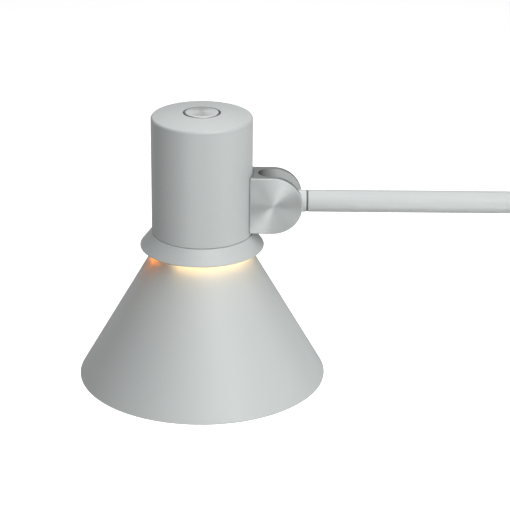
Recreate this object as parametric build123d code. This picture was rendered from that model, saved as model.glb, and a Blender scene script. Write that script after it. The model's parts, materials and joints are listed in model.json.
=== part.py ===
from build123d import *
import math
import os

# Architect desk lamp: a weighted round base, a swivel, a lower arm held up by two springs, a crank
# and link rod behind it, an upper arm, and a head with a cylindrical housing over a conical shade.
# Millimetres, +Z up. The origin is on the desk, on the swivel axis. The head reaches towards -X.

# ------------------------------------------------------------------ arms and linkage
LOWER_LEAN = 20.0          # degrees that the lower arm leans back from upright
LOWER_LENGTH = 300.0       # shoulder pivot to elbow pivot
UPPER_LENGTH = 330.0       # elbow pivot to head pivot
CRANK_LENGTH = 38.0        # shoulder pivot to crank pin, and elbow pivot to tail pin
SHOULDER_HEIGHT = 80.0     # shoulder pivot above the desk
LOWER_TUBE_R = 8.0
UPPER_TUBE_R = 7.0
LINK_TUBE_R = 4.5
TUBE_WALL = 1.5
SPIGOT_LENGTH = 18.0       # how far an end fitting reaches into its tube
GROOVE = 1.1               # shadow gap between an end fitting and its tube
TUBE_EDGE = 0.3            # broken edge on a tube's end

# ------------------------------------------------------------------ fits
RUNNING = 0.05             # radial clearance of a pin in its bore
SEAT = 0.05                # radial clearance of a spigot or bush that is fixed in place
FACE_GAP = 0.3             # between flat faces that turn past each other
WASHER = 0.45              # friction washer
WASHER_GAP = 0.05          # each side of a friction washer

# ------------------------------------------------------------------ base
BASE_R = 95.0
BASE_TOP = 22.0
BASE_EDGE_R = 5.0
COVER_WALL = 2.5
COVER_LIFT = 0.8           # the cover's skirt stays this far off the desk
PAD_THICK = 2.0
PLATE_THICK = 1.5
COVER_CLEAR = 2.0          # between the cover's skirt and the weight
COVER_SCREW_CIRCLE_R = 62.0
COVER_SCREW_COUNT = 4
COVER_BOSS_R = 5.0
COVER_BOSS_DROP = 9.0
SCREW_R = 2.0              # M4
SCREW_HEAD_R = 3.6
SCREW_HEAD = 2.2
CABLE_R = 3.4              # bore that the mains cable passes
GLAND_BARREL_R = 5.5
GLAND_FLANGE_R = 8.0
GLAND_FLANGE = 2.5
GLAND_LENGTH = 14.0
GLAND_NUT = 3.0

# ------------------------------------------------------------------ swivel
FLANGE_R = 29.0
FLANGE_THICK = 5.0
SPINDLE_R = 7.0
SPINDLE_NUT = 5.0
BUSH_WALL = 2.0
CHEEK_NOSE_R = 17.0        # round top of the shoulder cheeks
SHOULDER_CHEEK = 4.0
PIVOT_R = 4.0              # shoulder and elbow bolts
BOLT_HEAD_R = 7.5
BOLT_HEAD = 2.8
SPRING_ANCHOR_DROP = 25.0  # spring anchors below the shoulder pivot

# ------------------------------------------------------------------ arm fittings
CRANK_THICK = 8.0
CRANK_HUB_R = 9.0
CRANK_EYE_R = 7.0
LINK_PIN_R = 2.5
FOOT_CHEEK = 6.0
FOOT_R = 13.0
FOOT_SLOT_RISE = 22.0      # the crank's slot above the shoulder pivot
FOOT_NECK = 5.0
NECK_STEP = 0.5            # a fork narrows by this much each side towards its neck
KNUCKLE_THICK = 8.0
KNUCKLE_R = 13.0
KNUCKLE_REACH = 24.0       # elbow pivot to the top of the lower tube's fitting
KNUCKLE_RIM = 1.5          # straight band on the fitting, next to the tube
YOKE_CHEEK = 4.5
YOKE_R = 15.0
YOKE_TAIL_R = 8.5
YOKE_SLOT_REACH = 20.5     # elbow pivot to the slot's closed end
YOKE_NECK_R = 8.0
YOKE_NECK = 8.0
CLEVIS_CHEEK = 3.6
CLEVIS_SLOT_RISE = 17.0    # clevis pin to the slot's closed end
CLEVIS_NECK = 7.0
LINK_EYE_R = 7.0
LINK_EYE_NECK = 6.0        # yoke's tail to the link tube's upper fitting

# ------------------------------------------------------------------ springs
CROSSBAR_RISE = 150.0      # the springs' upper bar, from the shoulder pivot along the arm
SPRING_WIRE_R = 0.9
SPRING_COIL_R = 6.0
SPRING_PIN_R = 2.5
SPRING_OUT = 20.0          # each spring's distance from the lamp's middle plane
SPRING_STEM = 62.0         # straight wire from the lower pin to the coil
SPRING_TOP_STEM = 12.0     # straight wire from the coil to the upper bar
PIN_HEAD_R = 3.9
PIN_HEAD = 1.6

# ------------------------------------------------------------------ head
BODY_R = 31.9
BODY_WALL = 2.0
BODY_CROWN = 58.3          # highest point of the housing above the tilt pivot
CROWN_SPHERE_R = 179.0
BODY_EDGE_R = 1.6
BODY_CEILING = 52.4        # inside top of the housing
FORK_REACH = 13.0          # tilt pivot beyond the housing's wall
FORK_NOSE_R = 18.5
FORK_CHEEK = 4.0
FORK_SLOT_BACK = 2.5       # slot behind the arm's round end
FORK_EDGE = 0.6
FORK_SHADOW = 0.8          # gap round the fork's foot
FORK_PAD_INSET = 1.2
FORK_SCREW_Z = 9.0
TILT_PIN_R = 3.0
TILT_HEAD_R = 5.5
TILT_HEAD = 2.0
TILT_SKIN = 1.2            # metal left in front of the tilt bolt's blind hole
ARM_BOSS_R = 5.6
ARM_GROOVE_GAP = 2.5       # fork's nose to the groove in the arm

BUTTON_R = 10.75
BUTTON_GAP = 1.15
BUTTON_PROUD = 0.45
BUTTON_BEVEL = 0.8
BUTTON_THICK = 4.6
BUTTON_DOME = 0.15
BUTTON_STEM_R = 3.0
BUTTON_STEM_RISE = 4.0     # switch's underside to the foot of the stem
BUTTON_OVERRUN = 3.0       # room under the stem
SWITCH_R = 13.0
SWITCH_BOTTOM = 34.4
SWITCH_SHOULDER = 48.4
SWITCH_FLANGE = 3.0        # how far the flange stands out round the switch
SWITCH_FLANGE_THICK = 1.0
SWITCH_NECK_R = 8.0
SWITCH_NECK = 1.0
BUTTON_SPRING_R = 5.6
BUTTON_SPRING_WIRE = 1.2

COLLAR_GAP = 2.1           # fork's underside to the collar
COLLAR_STEP = 0.7
COLLAR_HEIGHT = 9.7
COLLAR_FLARE = 7.4
COLLAR_WALL = 1.6
COLLAR_BREAK = 0.4         # broken edge at the top of the flare
COLLAR_SPIGOT = 8.0
COLLAR_HOLE_R = 21.5

SHADE_DROP = 1.4           # collar's rim to the shade's top edge
SHADE_TOP_R = 30.0
SHADE_RIM_R = 80.0
SHADE_HEIGHT = 87.2
SHADE_WALL = 1.2
SPOKE_ANGLES = (-130.0, -10.0, 110.0)
SPOKE_WIDTH = 7.0
SPIDER_THICK = 1.2
SPIDER_HUB_R = 24.5
SPIDER_BEND_DROP = 1.0     # shade's top edge to the bend of a tab
SPIDER_TAB_DROP = 9.0      # shade's top edge to the end of a tab
SPIDER_BEND_SHARE = 1.3    # metal across the bend, in thicknesses
SPIDER_ROOT = 2.0          # how far a spoke reaches into the hub
RIVET_R = 1.6

HOLDER_R = 19.5
HOLDER_CAP_R = 16.5
HOLDER_CAP_BEVEL = 4.0
HOLDER_STEP = 2.0          # height of the slope from the cap out to the body
HOLDER_SHOULDER = 3.0      # how far the holder's shoulder stands out over the spider
HOLDER_SHOULDER_DROP = 1.9 # collar's top to the shoulder
HOLDER_SHOULDER_THICK = 1.9
HOLDER_MOUTH_DROP = 9.0    # collar's top to the holder's mouth
HOLDER_SOCKET_R = 14.1     # E27
HOLDER_SOCKET_DEPTH = 25.0
THREAD_WALL = 0.75
THREAD_INSET = 4.0         # holder's mouth to the thread
THREAD_SHORT = 3.0         # thread to the bottom of the socket
CONTACT_R = 4.0
CONTACT_THICK = 2.4
BRACKET_Z = 24.0
BRACKET_THICK = 1.6
BRACKET_WIDTH = 20.0
BRACKET_LEG_END = -12.0
NIPPLE_R = 5.0
NIPPLE_BORE_R = 3.4
NIPPLE_RISE = 6.0
NIPPLE_INSET = 1.0         # nipple's lower end above the socket
NUT_R = 8.0
NUT_THICK = 4.0
RING_HEIGHT = 3.0
RING_R = 23.5

BULB_R = 22.5
BULB_CENTRE_DROP = 21.5    # holder's mouth to the middle of the globe
BULB_NECK_R = 12.6
BULB_NECK = 8.0            # straight part of the glass neck
BULB_WALL = 1.0
BULB_CAP_CLEAR = 0.1
BULB_CAP_SKIRT = 6.0
BULB_CAP_DROP = 6.0        # bottom of the socket to the top of the cap
BULB_CAP_BEVEL = 1.5
BULB_TIP_R = 4.5
BULB_TIP = 3.0
BULB_TIP_SLOPE = 1.0       # how much wider the tip's insulator is at its foot
BULB_SEAT = 2.0            # how far the glass reaches into the holder
BULB_TANGENT = 50.0        # degrees from the top where the neck meets the globe

# ------------------------------------------------------------------ places worked out from the sizes
LEAN = math.radians(LOWER_LEAN)
SHOULDER = (0.0, SHOULDER_HEIGHT)
ELBOW = (LOWER_LENGTH * math.sin(LEAN), SHOULDER_HEIGHT + LOWER_LENGTH * math.cos(LEAN))
CRANK_PIN = (SHOULDER[0] + CRANK_LENGTH, SHOULDER[1])
TAIL_PIN = (ELBOW[0] + CRANK_LENGTH, ELBOW[1])
TILT = (ELBOW[0] - UPPER_LENGTH, ELBOW[1])
PIVOT_X = BODY_R + FORK_REACH
HEAD = (TILT[0] - PIVOT_X, TILT[1])
FOOT_HALF = CRANK_THICK / 2 + FACE_GAP + FOOT_CHEEK
CHEEK_IN = FOOT_HALF + WASHER + 2 * WASHER_GAP
CHEEK_OUT = CHEEK_IN + SHOULDER_CHEEK
YOKE_IN = KNUCKLE_THICK / 2 + WASHER + 2 * WASHER_GAP
YOKE_OUT = YOKE_IN + YOKE_CHEEK
FLANGE_BOTTOM = BASE_TOP + FACE_GAP
FLANGE_TOP = FLANGE_BOTTOM + FLANGE_THICK
COLLAR_TOP = -(FORK_NOSE_R + COLLAR_GAP)
COLLAR_RIM = COLLAR_TOP - COLLAR_HEIGHT
SHADE_TOP = COLLAR_RIM - SHADE_DROP
SHADE_RIM = SHADE_TOP - SHADE_HEIGHT
SHADE_SLOPE = (SHADE_RIM_R - SHADE_TOP_R) / SHADE_HEIGHT
SHADE_SIDE_WALL = SHADE_WALL * math.hypot(1, SHADE_SLOPE)
HOLDER_MOUTH = COLLAR_TOP - HOLDER_MOUTH_DROP
BODY_IN_R = BODY_R - BODY_WALL


# ------------------------------------------------------------------ ways of making a solid
def drum(radius, low, high, x=0.0, y=0.0):
    """A cylinder along Z."""
    return Pos(x, y, (low + high) / 2) * Cylinder(radius, high - low)


def pin_y(radius, near, far, x=0.0, z=0.0):
    """A cylinder along Y."""
    return Pos(x, (near + far) / 2, z) * Rot(90, 0, 0) * Cylinder(radius, far - near)


def pin_x(radius, left, right, y=0.0, z=0.0):
    """A cylinder along X."""
    return Pos((left + right) / 2, y, z) * Rot(0, 90, 0) * Cylinder(radius, right - left)


def block(x0, x1, y0, y1, z0, z1):
    return Pos((x0 + x1) / 2, (y0 + y1) / 2, (z0 + z1) / 2) * Box(x1 - x0, y1 - y0, z1 - z0)


def turned(*corners):
    """A solid turned about Z from (radius, height) corners."""
    outline = Wire.make_polygon([(r, 0, z) for r, z in corners], close=True)
    return revolve(Face(outline), Axis.Z)


def lever(x1, z1, r1, x2, z2, r2, half):
    """A flat link with two round ends and straight tangent edges, its faces at y = -half and half."""
    span = math.hypot(x2 - x1, z2 - z1)
    heading = math.atan2(z2 - z1, x2 - x1)
    side = math.acos((r1 - r2) / span)

    def on(x, z, r, angle):
        return (x + r * math.cos(angle), -half, z + r * math.sin(angle))

    a, b = on(x1, z1, r1, heading + side), on(x2, z2, r2, heading + side)
    c, d = on(x2, z2, r2, heading - side), on(x1, z1, r1, heading - side)
    outline = Wire([
        Edge.make_line(a, b),
        Edge.make_three_point_arc(b, on(x2, z2, r2, heading), c),
        Edge.make_line(c, d),
        Edge.make_three_point_arc(d, on(x1, z1, r1, heading + math.pi), a),
    ])
    return extrude(Face(outline), amount=2 * half, dir=(0, 1, 0))


def nose_plate(x0, x1, radius, near, far):
    """A plate from x0 to a round nose about (x1, 0), its faces at y = near and far."""
    top, tip, low = (x1, near, radius), (x1 + radius, near, 0), (x1, near, -radius)
    outline = Wire([
        Edge.make_line((x0, near, radius), top),
        Edge.make_three_point_arc(top, tip, low),
        Edge.make_line(low, (x0, near, -radius)),
        Edge.make_line((x0, near, -radius), (x0, near, radius)),
    ])
    return extrude(Face(outline), amount=far - near, dir=(0, 1, 0))


def tube(radius, wall, low, high):
    """A tube along Z with its outer edges broken."""
    solid = drum(radius, low, high)
    solid = chamfer(solid.edges(), TUBE_EDGE)
    return solid - drum(radius - wall, low - 1, high + 1)


def hexagon(across_corners_r, low, high):
    """A hexagonal nut blank along Z."""
    outline = RegularPolygon(across_corners_r, 6)
    return Pos(0, 0, low) * extrude(outline, amount=high - low)


def soften(solid, faces, radius):
    """Rounds every edge of the given faces."""
    edges = ShapeList([edge for face in faces for edge in face.edges()])
    return fillet(edges, radius)


def placed(solid, place, lean=0.0):
    """Moves a solid made about a pivot to that pivot's place, leaning back by lean degrees."""
    return Pos(place[0], 0, place[1]) * Rot(0, lean, 0) * solid


parts = {}

# ------------------------------------------------------------------ base: pad, plate, weight and cover
weight_r = BASE_R - COVER_WALL - COVER_CLEAR
plate_top = PAD_THICK + PLATE_THICK
weight_top = BASE_TOP - COVER_WALL - SEAT
screw_spots = PolarLocations(COVER_SCREW_CIRCLE_R, COVER_SCREW_COUNT, start_angle=45)
bush_r = SPINDLE_R + RUNNING + BUSH_WALL
gland_z = (plate_top + weight_top) / 2
nut_recess_r = NUT_R + SPINDLE_R
nut_recess_top = plate_top + SPINDLE_NUT + 3 * FACE_GAP

parts["base_pad"] = drum(weight_r, 0, PAD_THICK)

plate = drum(weight_r, PAD_THICK, plate_top)
for spot in screw_spots:
    plate -= spot * drum(SCREW_R + SEAT, PAD_THICK - 1, plate_top + 1)
parts["base_plate"] = plate

weight = drum(weight_r, plate_top, weight_top)
weight -= drum(bush_r + SEAT, plate_top - 1, weight_top + 1)
weight -= drum(nut_recess_r, plate_top - 1, nut_recess_top)
weight -= block(0, weight_r + 1, -GLAND_FLANGE_R, GLAND_FLANGE_R, plate_top - 1,
                gland_z + GLAND_FLANGE_R)
for spot in screw_spots:
    weight -= spot * drum(SCREW_R + SEAT, plate_top - 1, weight_top + 1)
    weight -= spot * drum(COVER_BOSS_R + SEAT, weight_top + SEAT - COVER_BOSS_DROP, weight_top + 1)
parts["base_weight"] = weight

cover = drum(BASE_R, COVER_LIFT, BASE_TOP)
cover = fillet(cover.edges().sort_by(Axis.Z)[-1], BASE_EDGE_R)
cover -= drum(BASE_R - COVER_WALL, COVER_LIFT - 1, BASE_TOP - COVER_WALL)
cover -= drum(bush_r + SEAT, COVER_LIFT, BASE_TOP + 1)
cover -= pin_x(GLAND_BARREL_R + SEAT, BASE_R / 2, BASE_R + 1, z=gland_z)
boss_low = BASE_TOP - COVER_WALL - COVER_BOSS_DROP + 2 * SEAT
for spot in screw_spots:
    cover += spot * drum(COVER_BOSS_R, boss_low, BASE_TOP - COVER_WALL)
    cover -= spot * drum(SCREW_R, boss_low - 1, BASE_TOP - COVER_WALL)
parts["base_cover"] = cover

screw_tip = BASE_TOP - COVER_WALL - FACE_GAP
one_screw = drum(SCREW_R - SEAT, PAD_THICK, screw_tip)
parts["base_screws"] = Compound([spot * one_screw for spot in screw_spots])

# Cable gland in the back of the cover, with its nut inside.
gland_in = BASE_R + GLAND_FLANGE - GLAND_LENGTH
gland = pin_x(GLAND_BARREL_R, gland_in, BASE_R, z=gland_z)
flange = pin_x(GLAND_FLANGE_R, BASE_R, BASE_R + GLAND_FLANGE, z=gland_z)
flange = chamfer(flange.faces().sort_by(Axis.X)[-1].edges(), GLAND_FLANGE / 3)
gland += flange
gland -= pin_x(CABLE_R, gland_in - 1, BASE_R + GLAND_FLANGE + 1, z=gland_z)
seat_cut = drum(BASE_R, COVER_LIFT, BASE_TOP)
parts["cable_gland"] = gland - (seat_cut - pin_x(GLAND_BARREL_R, gland_in - 1, BASE_R + 1, z=gland_z))
nut_right = BASE_R - COVER_WALL - FACE_GAP
gland_nut = Pos(nut_right - GLAND_NUT, 0, gland_z) * Rot(0, 90, 0) * hexagon(
    GLAND_FLANGE_R - FACE_GAP, 0, GLAND_NUT)
parts["gland_nut"] = gland_nut - pin_x(GLAND_BARREL_R + SEAT, gland_in - 1, BASE_R, z=gland_z)

# Plain bush that the swivel spindle turns in.
parts["swivel_bush"] = (drum(bush_r, nut_recess_top, BASE_TOP)
                        - drum(SPINDLE_R + RUNNING, nut_recess_top - 1, BASE_TOP + 1))

# ------------------------------------------------------------------ swivel: fork, spindle, bolt and anchors
cheek_foot = FLANGE_TOP - FLANGE_THICK / 2
fork = drum(FLANGE_R, FLANGE_BOTTOM, FLANGE_TOP)
fork = fillet(fork.edges().sort_by(Axis.Z)[-1], FLANGE_THICK / 3)
for side in (-1, 1):
    near, far = sorted((side * CHEEK_IN, side * CHEEK_OUT))
    cheek = nose_plate(cheek_foot - SHOULDER_HEIGHT, 0, CHEEK_NOSE_R, near, far)
    outside = cheek.faces().sort_by(Axis.Y)[0 if side < 0 else -1]
    cheek = soften(cheek, [outside], FORK_EDGE)
    fork += placed(cheek, SHOULDER, -90)
    anchor_z = SHOULDER_HEIGHT - SPRING_ANCHOR_DROP
    fork -= pin_y(SPRING_PIN_R, near - 1, far + 1, z=anchor_z)
fork -= pin_y(PIVOT_R + RUNNING, -CHEEK_OUT - 1, CHEEK_OUT + 1, z=SHOULDER_HEIGHT)
fork -= drum(SPINDLE_R + SEAT, FLANGE_BOTTOM - 1, FLANGE_TOP + 1)
parts["shoulder_fork"] = fork

spindle_low = plate_top + FACE_GAP
spindle = drum(SPINDLE_R, spindle_low, FLANGE_TOP)
spindle += drum(SPINDLE_R + BUSH_WALL, FLANGE_TOP, FLANGE_TOP + BUSH_WALL)
parts["swivel_spindle"] = spindle - drum(CABLE_R, spindle_low - 1, FLANGE_TOP + BUSH_WALL + 1)
swivel_nut = hexagon(nut_recess_r - 2 * FACE_GAP, spindle_low, spindle_low + SPINDLE_NUT - FACE_GAP)
parts["swivel_nut"] = swivel_nut - drum(SPINDLE_R + SEAT, 0, BASE_TOP)

bolt = pin_y(PIVOT_R, -CHEEK_OUT, CHEEK_OUT + BOLT_HEAD)
head = pin_y(BOLT_HEAD_R, -CHEEK_OUT - BOLT_HEAD, -CHEEK_OUT)
head = fillet(head.faces().sort_by(Axis.Y)[0].edges(), BOLT_HEAD / 3)
parts["shoulder_bolt"] = placed(bolt + head, SHOULDER)
cap = pin_y(BOLT_HEAD_R, CHEEK_OUT, CHEEK_OUT + BOLT_HEAD)
cap = fillet(cap.faces().sort_by(Axis.Y)[-1].edges(), BOLT_HEAD / 3)
parts["shoulder_nut"] = placed(cap - pin_y(PIVOT_R + SEAT, 0, 2 * CHEEK_OUT), SHOULDER)

anchors = []
for side in (-1, 1):
    shank_ends = sorted((side * CHEEK_IN, side * (SPRING_OUT + SPRING_WIRE_R + SEAT)))
    head_ends = sorted((side * (SPRING_OUT + SPRING_WIRE_R + SEAT),
                        side * (SPRING_OUT + SPRING_WIRE_R + SEAT + PIN_HEAD)))
    anchors.append(pin_y(SPRING_PIN_R - SEAT, *shank_ends, z=anchor_z)
                   + pin_y(PIN_HEAD_R, *head_ends, z=anchor_z))
parts["spring_anchors"] = Compound(anchors)

# ------------------------------------------------------------------ lower arm: foot, tube, knuckle
# Made upright about the shoulder pivot, then leant back.
foot_top = FOOT_SLOT_RISE + FOOT_NECK
foot = lever(0, 0, FOOT_R, 0, FOOT_SLOT_RISE, FOOT_HALF - NECK_STEP, FOOT_HALF)
foot = soften(foot, [foot.faces().sort_by(Axis.Y)[0], foot.faces().sort_by(Axis.Y)[-1]], FORK_EDGE)
foot &= block(-2 * FOOT_R, 2 * FOOT_R, -FOOT_HALF, FOOT_HALF, -2 * FOOT_R, foot_top - 1)
foot &= drum(FOOT_R, -2 * FOOT_R, foot_top)
foot += turned((0, FOOT_SLOT_RISE), (FOOT_HALF, FOOT_SLOT_RISE),
               (LOWER_TUBE_R, foot_top), (0, foot_top))
foot -= block(-2 * FOOT_R, 2 * FOOT_R, -CRANK_THICK / 2 - FACE_GAP, CRANK_THICK / 2 + FACE_GAP,
              -2 * FOOT_R, FOOT_SLOT_RISE - NECK_STEP)
tube_low = foot_top + GROOVE
tube_high = LOWER_LENGTH - KNUCKLE_REACH - GROOVE
lower_spigot_r = LOWER_TUBE_R - TUBE_WALL - SEAT
foot += drum(lower_spigot_r, foot_top - 1, tube_low + SPIGOT_LENGTH)
foot -= pin_y(PIVOT_R + RUNNING, -FOOT_HALF - 1, FOOT_HALF + 1)
parts["arm_foot"] = placed(foot, SHOULDER, LOWER_LEAN)

lower = tube(LOWER_TUBE_R, TUBE_WALL, tube_low, tube_high)
lower -= pin_y(SPRING_PIN_R + SEAT, -2 * LOWER_TUBE_R, 2 * LOWER_TUBE_R, z=CROSSBAR_RISE)
parts["lower_tube"] = placed(lower, SHOULDER, LOWER_LEAN)

knuckle = lever(0, 0, KNUCKLE_R, 0, -KNUCKLE_REACH, LOWER_TUBE_R - TUBE_WALL, KNUCKLE_THICK / 2)
knuckle &= block(-2 * KNUCKLE_R, 2 * KNUCKLE_R, -KNUCKLE_THICK, KNUCKLE_THICK,
                 1 - KNUCKLE_REACH, 2 * KNUCKLE_R)
rim_top = KNUCKLE_RIM - KNUCKLE_REACH
knuckle += turned((0, -KNUCKLE_REACH), (LOWER_TUBE_R, -KNUCKLE_REACH), (LOWER_TUBE_R, rim_top),
                  (LOWER_TUBE_R - TUBE_WALL, rim_top + TUBE_WALL), (0, rim_top + TUBE_WALL))
knuckle += drum(lower_spigot_r, tube_high - LOWER_LENGTH - SPIGOT_LENGTH, 1 - KNUCKLE_REACH)
knuckle -= pin_y(PIVOT_R + RUNNING, -KNUCKLE_THICK, KNUCKLE_THICK)
parts["elbow_knuckle"] = placed(knuckle, ELBOW, LOWER_LEAN)

rings = []
for side in (-1, 1):
    ends = sorted((side * (FOOT_HALF + WASHER_GAP), side * (FOOT_HALF + WASHER_GAP + WASHER)))
    rings.append(pin_y(FOOT_R - 1, *ends) - pin_y(PIVOT_R + SEAT, *ends))
parts["shoulder_washers"] = placed(Compound(rings), SHOULDER)

bar_end = SPRING_OUT + SPRING_WIRE_R + SEAT
crossbar = pin_y(SPRING_PIN_R, -bar_end, bar_end)
for side in (-1, 1):
    crossbar += pin_y(PIN_HEAD_R, *sorted((side * bar_end, side * (bar_end + PIN_HEAD))))
crossbar_at = (SHOULDER[0] + CROSSBAR_RISE * math.sin(LEAN), SHOULDER[1] + CROSSBAR_RISE * math.cos(LEAN))
parts["spring_crossbar"] = placed(crossbar, crossbar_at)

# Two tension springs. Each coil is a plain sleeve here, with its straight wires and end loops.
anchor_at = (SHOULDER[0], SHOULDER[1] - SPRING_ANCHOR_DROP)
spring_run = math.hypot(crossbar_at[0] - anchor_at[0], crossbar_at[1] - anchor_at[1])
spring_lean = math.degrees(math.atan2(crossbar_at[0] - anchor_at[0], crossbar_at[1] - anchor_at[1]))
loop_r = SPRING_PIN_R + SPRING_WIRE_R + 2 * SEAT
coil_low, coil_high = SPRING_STEM, spring_run - SPRING_TOP_STEM
sleeve = turned(
    (0, coil_low), (SPRING_COIL_R, coil_low), (SPRING_COIL_R, coil_high), (0, coil_high),
    (0, coil_high - 1), (SPRING_COIL_R - 2 * SPRING_WIRE_R, coil_high - 1),
    (SPRING_COIL_R - 2 * SPRING_WIRE_R, coil_low + 1), (0, coil_low + 1))
spring = sleeve + drum(SPRING_WIRE_R, loop_r, coil_low + SPRING_WIRE_R / 2)
spring += drum(SPRING_WIRE_R, coil_high - SPRING_WIRE_R / 2, spring_run - loop_r)
for end in (0, spring_run):
    spring += Pos(0, 0, end) * Rot(90, 0, 0) * Torus(loop_r, SPRING_WIRE_R)
for side, name in ((-1, "spring_front"), (1, "spring_back")):
    parts[name] = Pos(0, side * SPRING_OUT, 0) * placed(spring, anchor_at, spring_lean)

# ------------------------------------------------------------------ crank and link rod
crank = lever(0, 0, CRANK_HUB_R, CRANK_LENGTH, 0, CRANK_EYE_R, CRANK_THICK / 2)
crank -= pin_y(PIVOT_R + RUNNING, -CRANK_THICK, CRANK_THICK)
crank -= pin_y(LINK_PIN_R + RUNNING, -CRANK_THICK, CRANK_THICK, x=CRANK_LENGTH)
parts["crank"] = placed(crank, SHOULDER)

clevis_in = CRANK_THICK / 2 + FACE_GAP
clevis_out = clevis_in + CLEVIS_CHEEK
clevis_top = CLEVIS_SLOT_RISE + CLEVIS_NECK
clevis = lever(0, 0, CRANK_EYE_R, 0, CLEVIS_SLOT_RISE, CRANK_EYE_R - NECK_STEP, clevis_out)
clevis &= block(-2 * CRANK_EYE_R, 2 * CRANK_EYE_R, -clevis_out, clevis_out, -2 * CRANK_EYE_R,
                CLEVIS_SLOT_RISE + 1)
clevis &= drum(clevis_out, -2 * CRANK_EYE_R, 2 * clevis_top)
clevis += turned((0, CLEVIS_SLOT_RISE), (CRANK_EYE_R - NECK_STEP, CLEVIS_SLOT_RISE),
                 (LINK_TUBE_R, clevis_top), (0, clevis_top))
clevis -= block(-2 * CRANK_EYE_R, 2 * CRANK_EYE_R, -clevis_in, clevis_in, -2 * CRANK_EYE_R,
                CLEVIS_SLOT_RISE)
link_low = clevis_top + GROOVE
link_high = LOWER_LENGTH - YOKE_TAIL_R - LINK_EYE_NECK - GROOVE
link_spigot_r = LINK_TUBE_R - TUBE_WALL - SEAT
clevis += drum(link_spigot_r, clevis_top - 1, link_low + SPIGOT_LENGTH / 2)
clevis -= pin_y(LINK_PIN_R + SEAT, -2 * clevis_out, 2 * clevis_out)
parts["link_clevis"] = placed(clevis, CRANK_PIN, LOWER_LEAN)
parts["link_rod"] = placed(tube(LINK_TUBE_R, TUBE_WALL, link_low, link_high), CRANK_PIN, LOWER_LEAN)

eye_neck = link_high + GROOVE - LOWER_LENGTH
eye = pin_y(LINK_EYE_R, -KNUCKLE_THICK / 2, KNUCKLE_THICK / 2)
eye += drum(KNUCKLE_THICK / 2, eye_neck, 0)
eye += drum(link_spigot_r, eye_neck - GROOVE - SPIGOT_LENGTH / 2, eye_neck + 1)
eye -= pin_y(LINK_PIN_R + 2 * RUNNING, -KNUCKLE_THICK, KNUCKLE_THICK)
parts["link_eye"] = placed(eye, TAIL_PIN, LOWER_LEAN)
link_pin = pin_y(LINK_PIN_R, -clevis_out, clevis_out)
for side in (-1, 1):
    link_pin += pin_y(PIN_HEAD_R, *sorted((side * clevis_out, side * (clevis_out + PIN_HEAD))))
parts["link_pin"] = placed(link_pin, CRANK_PIN)

# ------------------------------------------------------------------ upper arm: yoke, tube, round end
yoke = lever(0, 0, YOKE_R, CRANK_LENGTH, 0, YOKE_TAIL_R, YOKE_OUT)
yoke += lever(0, 0, YOKE_R, -YOKE_SLOT_REACH, 0, YOKE_NECK_R, YOKE_OUT)
yoke &= block(-YOKE_SLOT_REACH, CRANK_LENGTH + YOKE_TAIL_R, -YOKE_OUT, YOKE_OUT, -YOKE_R, YOKE_R)
yoke = soften(yoke, [yoke.faces().sort_by(Axis.Y)[0], yoke.faces().sort_by(Axis.Y)[-1]], FORK_EDGE)
yoke_left = -YOKE_SLOT_REACH - YOKE_NECK
neck = Pos(yoke_left, 0, 0) * Rot(0, 90, 0) * turned(
    (0, 0), (UPPER_TUBE_R, 0), (YOKE_NECK_R, YOKE_NECK / 2), (YOKE_NECK_R, YOKE_NECK + 1),
    (0, YOKE_NECK + 1))
yoke += neck
yoke -= block(-YOKE_SLOT_REACH + 1, CRANK_LENGTH + 2 * YOKE_R, -YOKE_IN, YOKE_IN, -2 * YOKE_R, 2 * YOKE_R)
upper_right = yoke_left - GROOVE
upper_left = -UPPER_LENGTH + FORK_NOSE_R + ARM_GROOVE_GAP + GROOVE
upper_spigot_r = UPPER_TUBE_R - TUBE_WALL - SEAT
yoke += pin_x(upper_spigot_r, upper_right - SPIGOT_LENGTH, yoke_left + 1)
yoke -= pin_y(PIVOT_R + SEAT, -2 * YOKE_OUT, 2 * YOKE_OUT)
yoke -= pin_y(LINK_PIN_R + SEAT, -2 * YOKE_OUT, 2 * YOKE_OUT, x=CRANK_LENGTH)
parts["elbow_yoke"] = placed(yoke, ELBOW)

upper = tube(UPPER_TUBE_R, TUBE_WALL, upper_left, upper_right)
parts["upper_tube"] = placed(Rot(0, 90, 0) * upper, ELBOW)

slot_half = UPPER_TUBE_R + WASHER + 2 * WASHER_GAP
fork_half = slot_half + FORK_CHEEK
groove_at = FORK_NOSE_R + ARM_GROOVE_GAP
arm_end = Sphere(UPPER_TUBE_R) + pin_x(UPPER_TUBE_R, 0, groove_at)
arm_end += pin_y(ARM_BOSS_R, -UPPER_TUBE_R, UPPER_TUBE_R)
arm_end += pin_x(upper_spigot_r, groove_at - 1, groove_at + GROOVE + SPIGOT_LENGTH)
arm_end -= pin_y(TILT_PIN_R + RUNNING, -2 * fork_half, 2 * fork_half)
parts["arm_end"] = placed(arm_end, TILT)

rings = []
for side in (-1, 1):
    ends = sorted((side * (UPPER_TUBE_R + WASHER_GAP), side * (UPPER_TUBE_R + WASHER_GAP + WASHER)))
    rings.append(pin_y(ARM_BOSS_R, *ends) - pin_y(TILT_PIN_R + SEAT, *ends))
parts["tilt_washers"] = placed(Compound(rings), TILT)

rings = []
for side in (-1, 1):
    ends = sorted((side * (KNUCKLE_THICK / 2 + WASHER_GAP), side * (YOKE_IN - WASHER_GAP)))
    rings.append(pin_y(KNUCKLE_R - 1, *ends) - pin_y(PIVOT_R + SEAT, *ends))
parts["elbow_washers"] = placed(Compound(rings), ELBOW)

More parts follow.
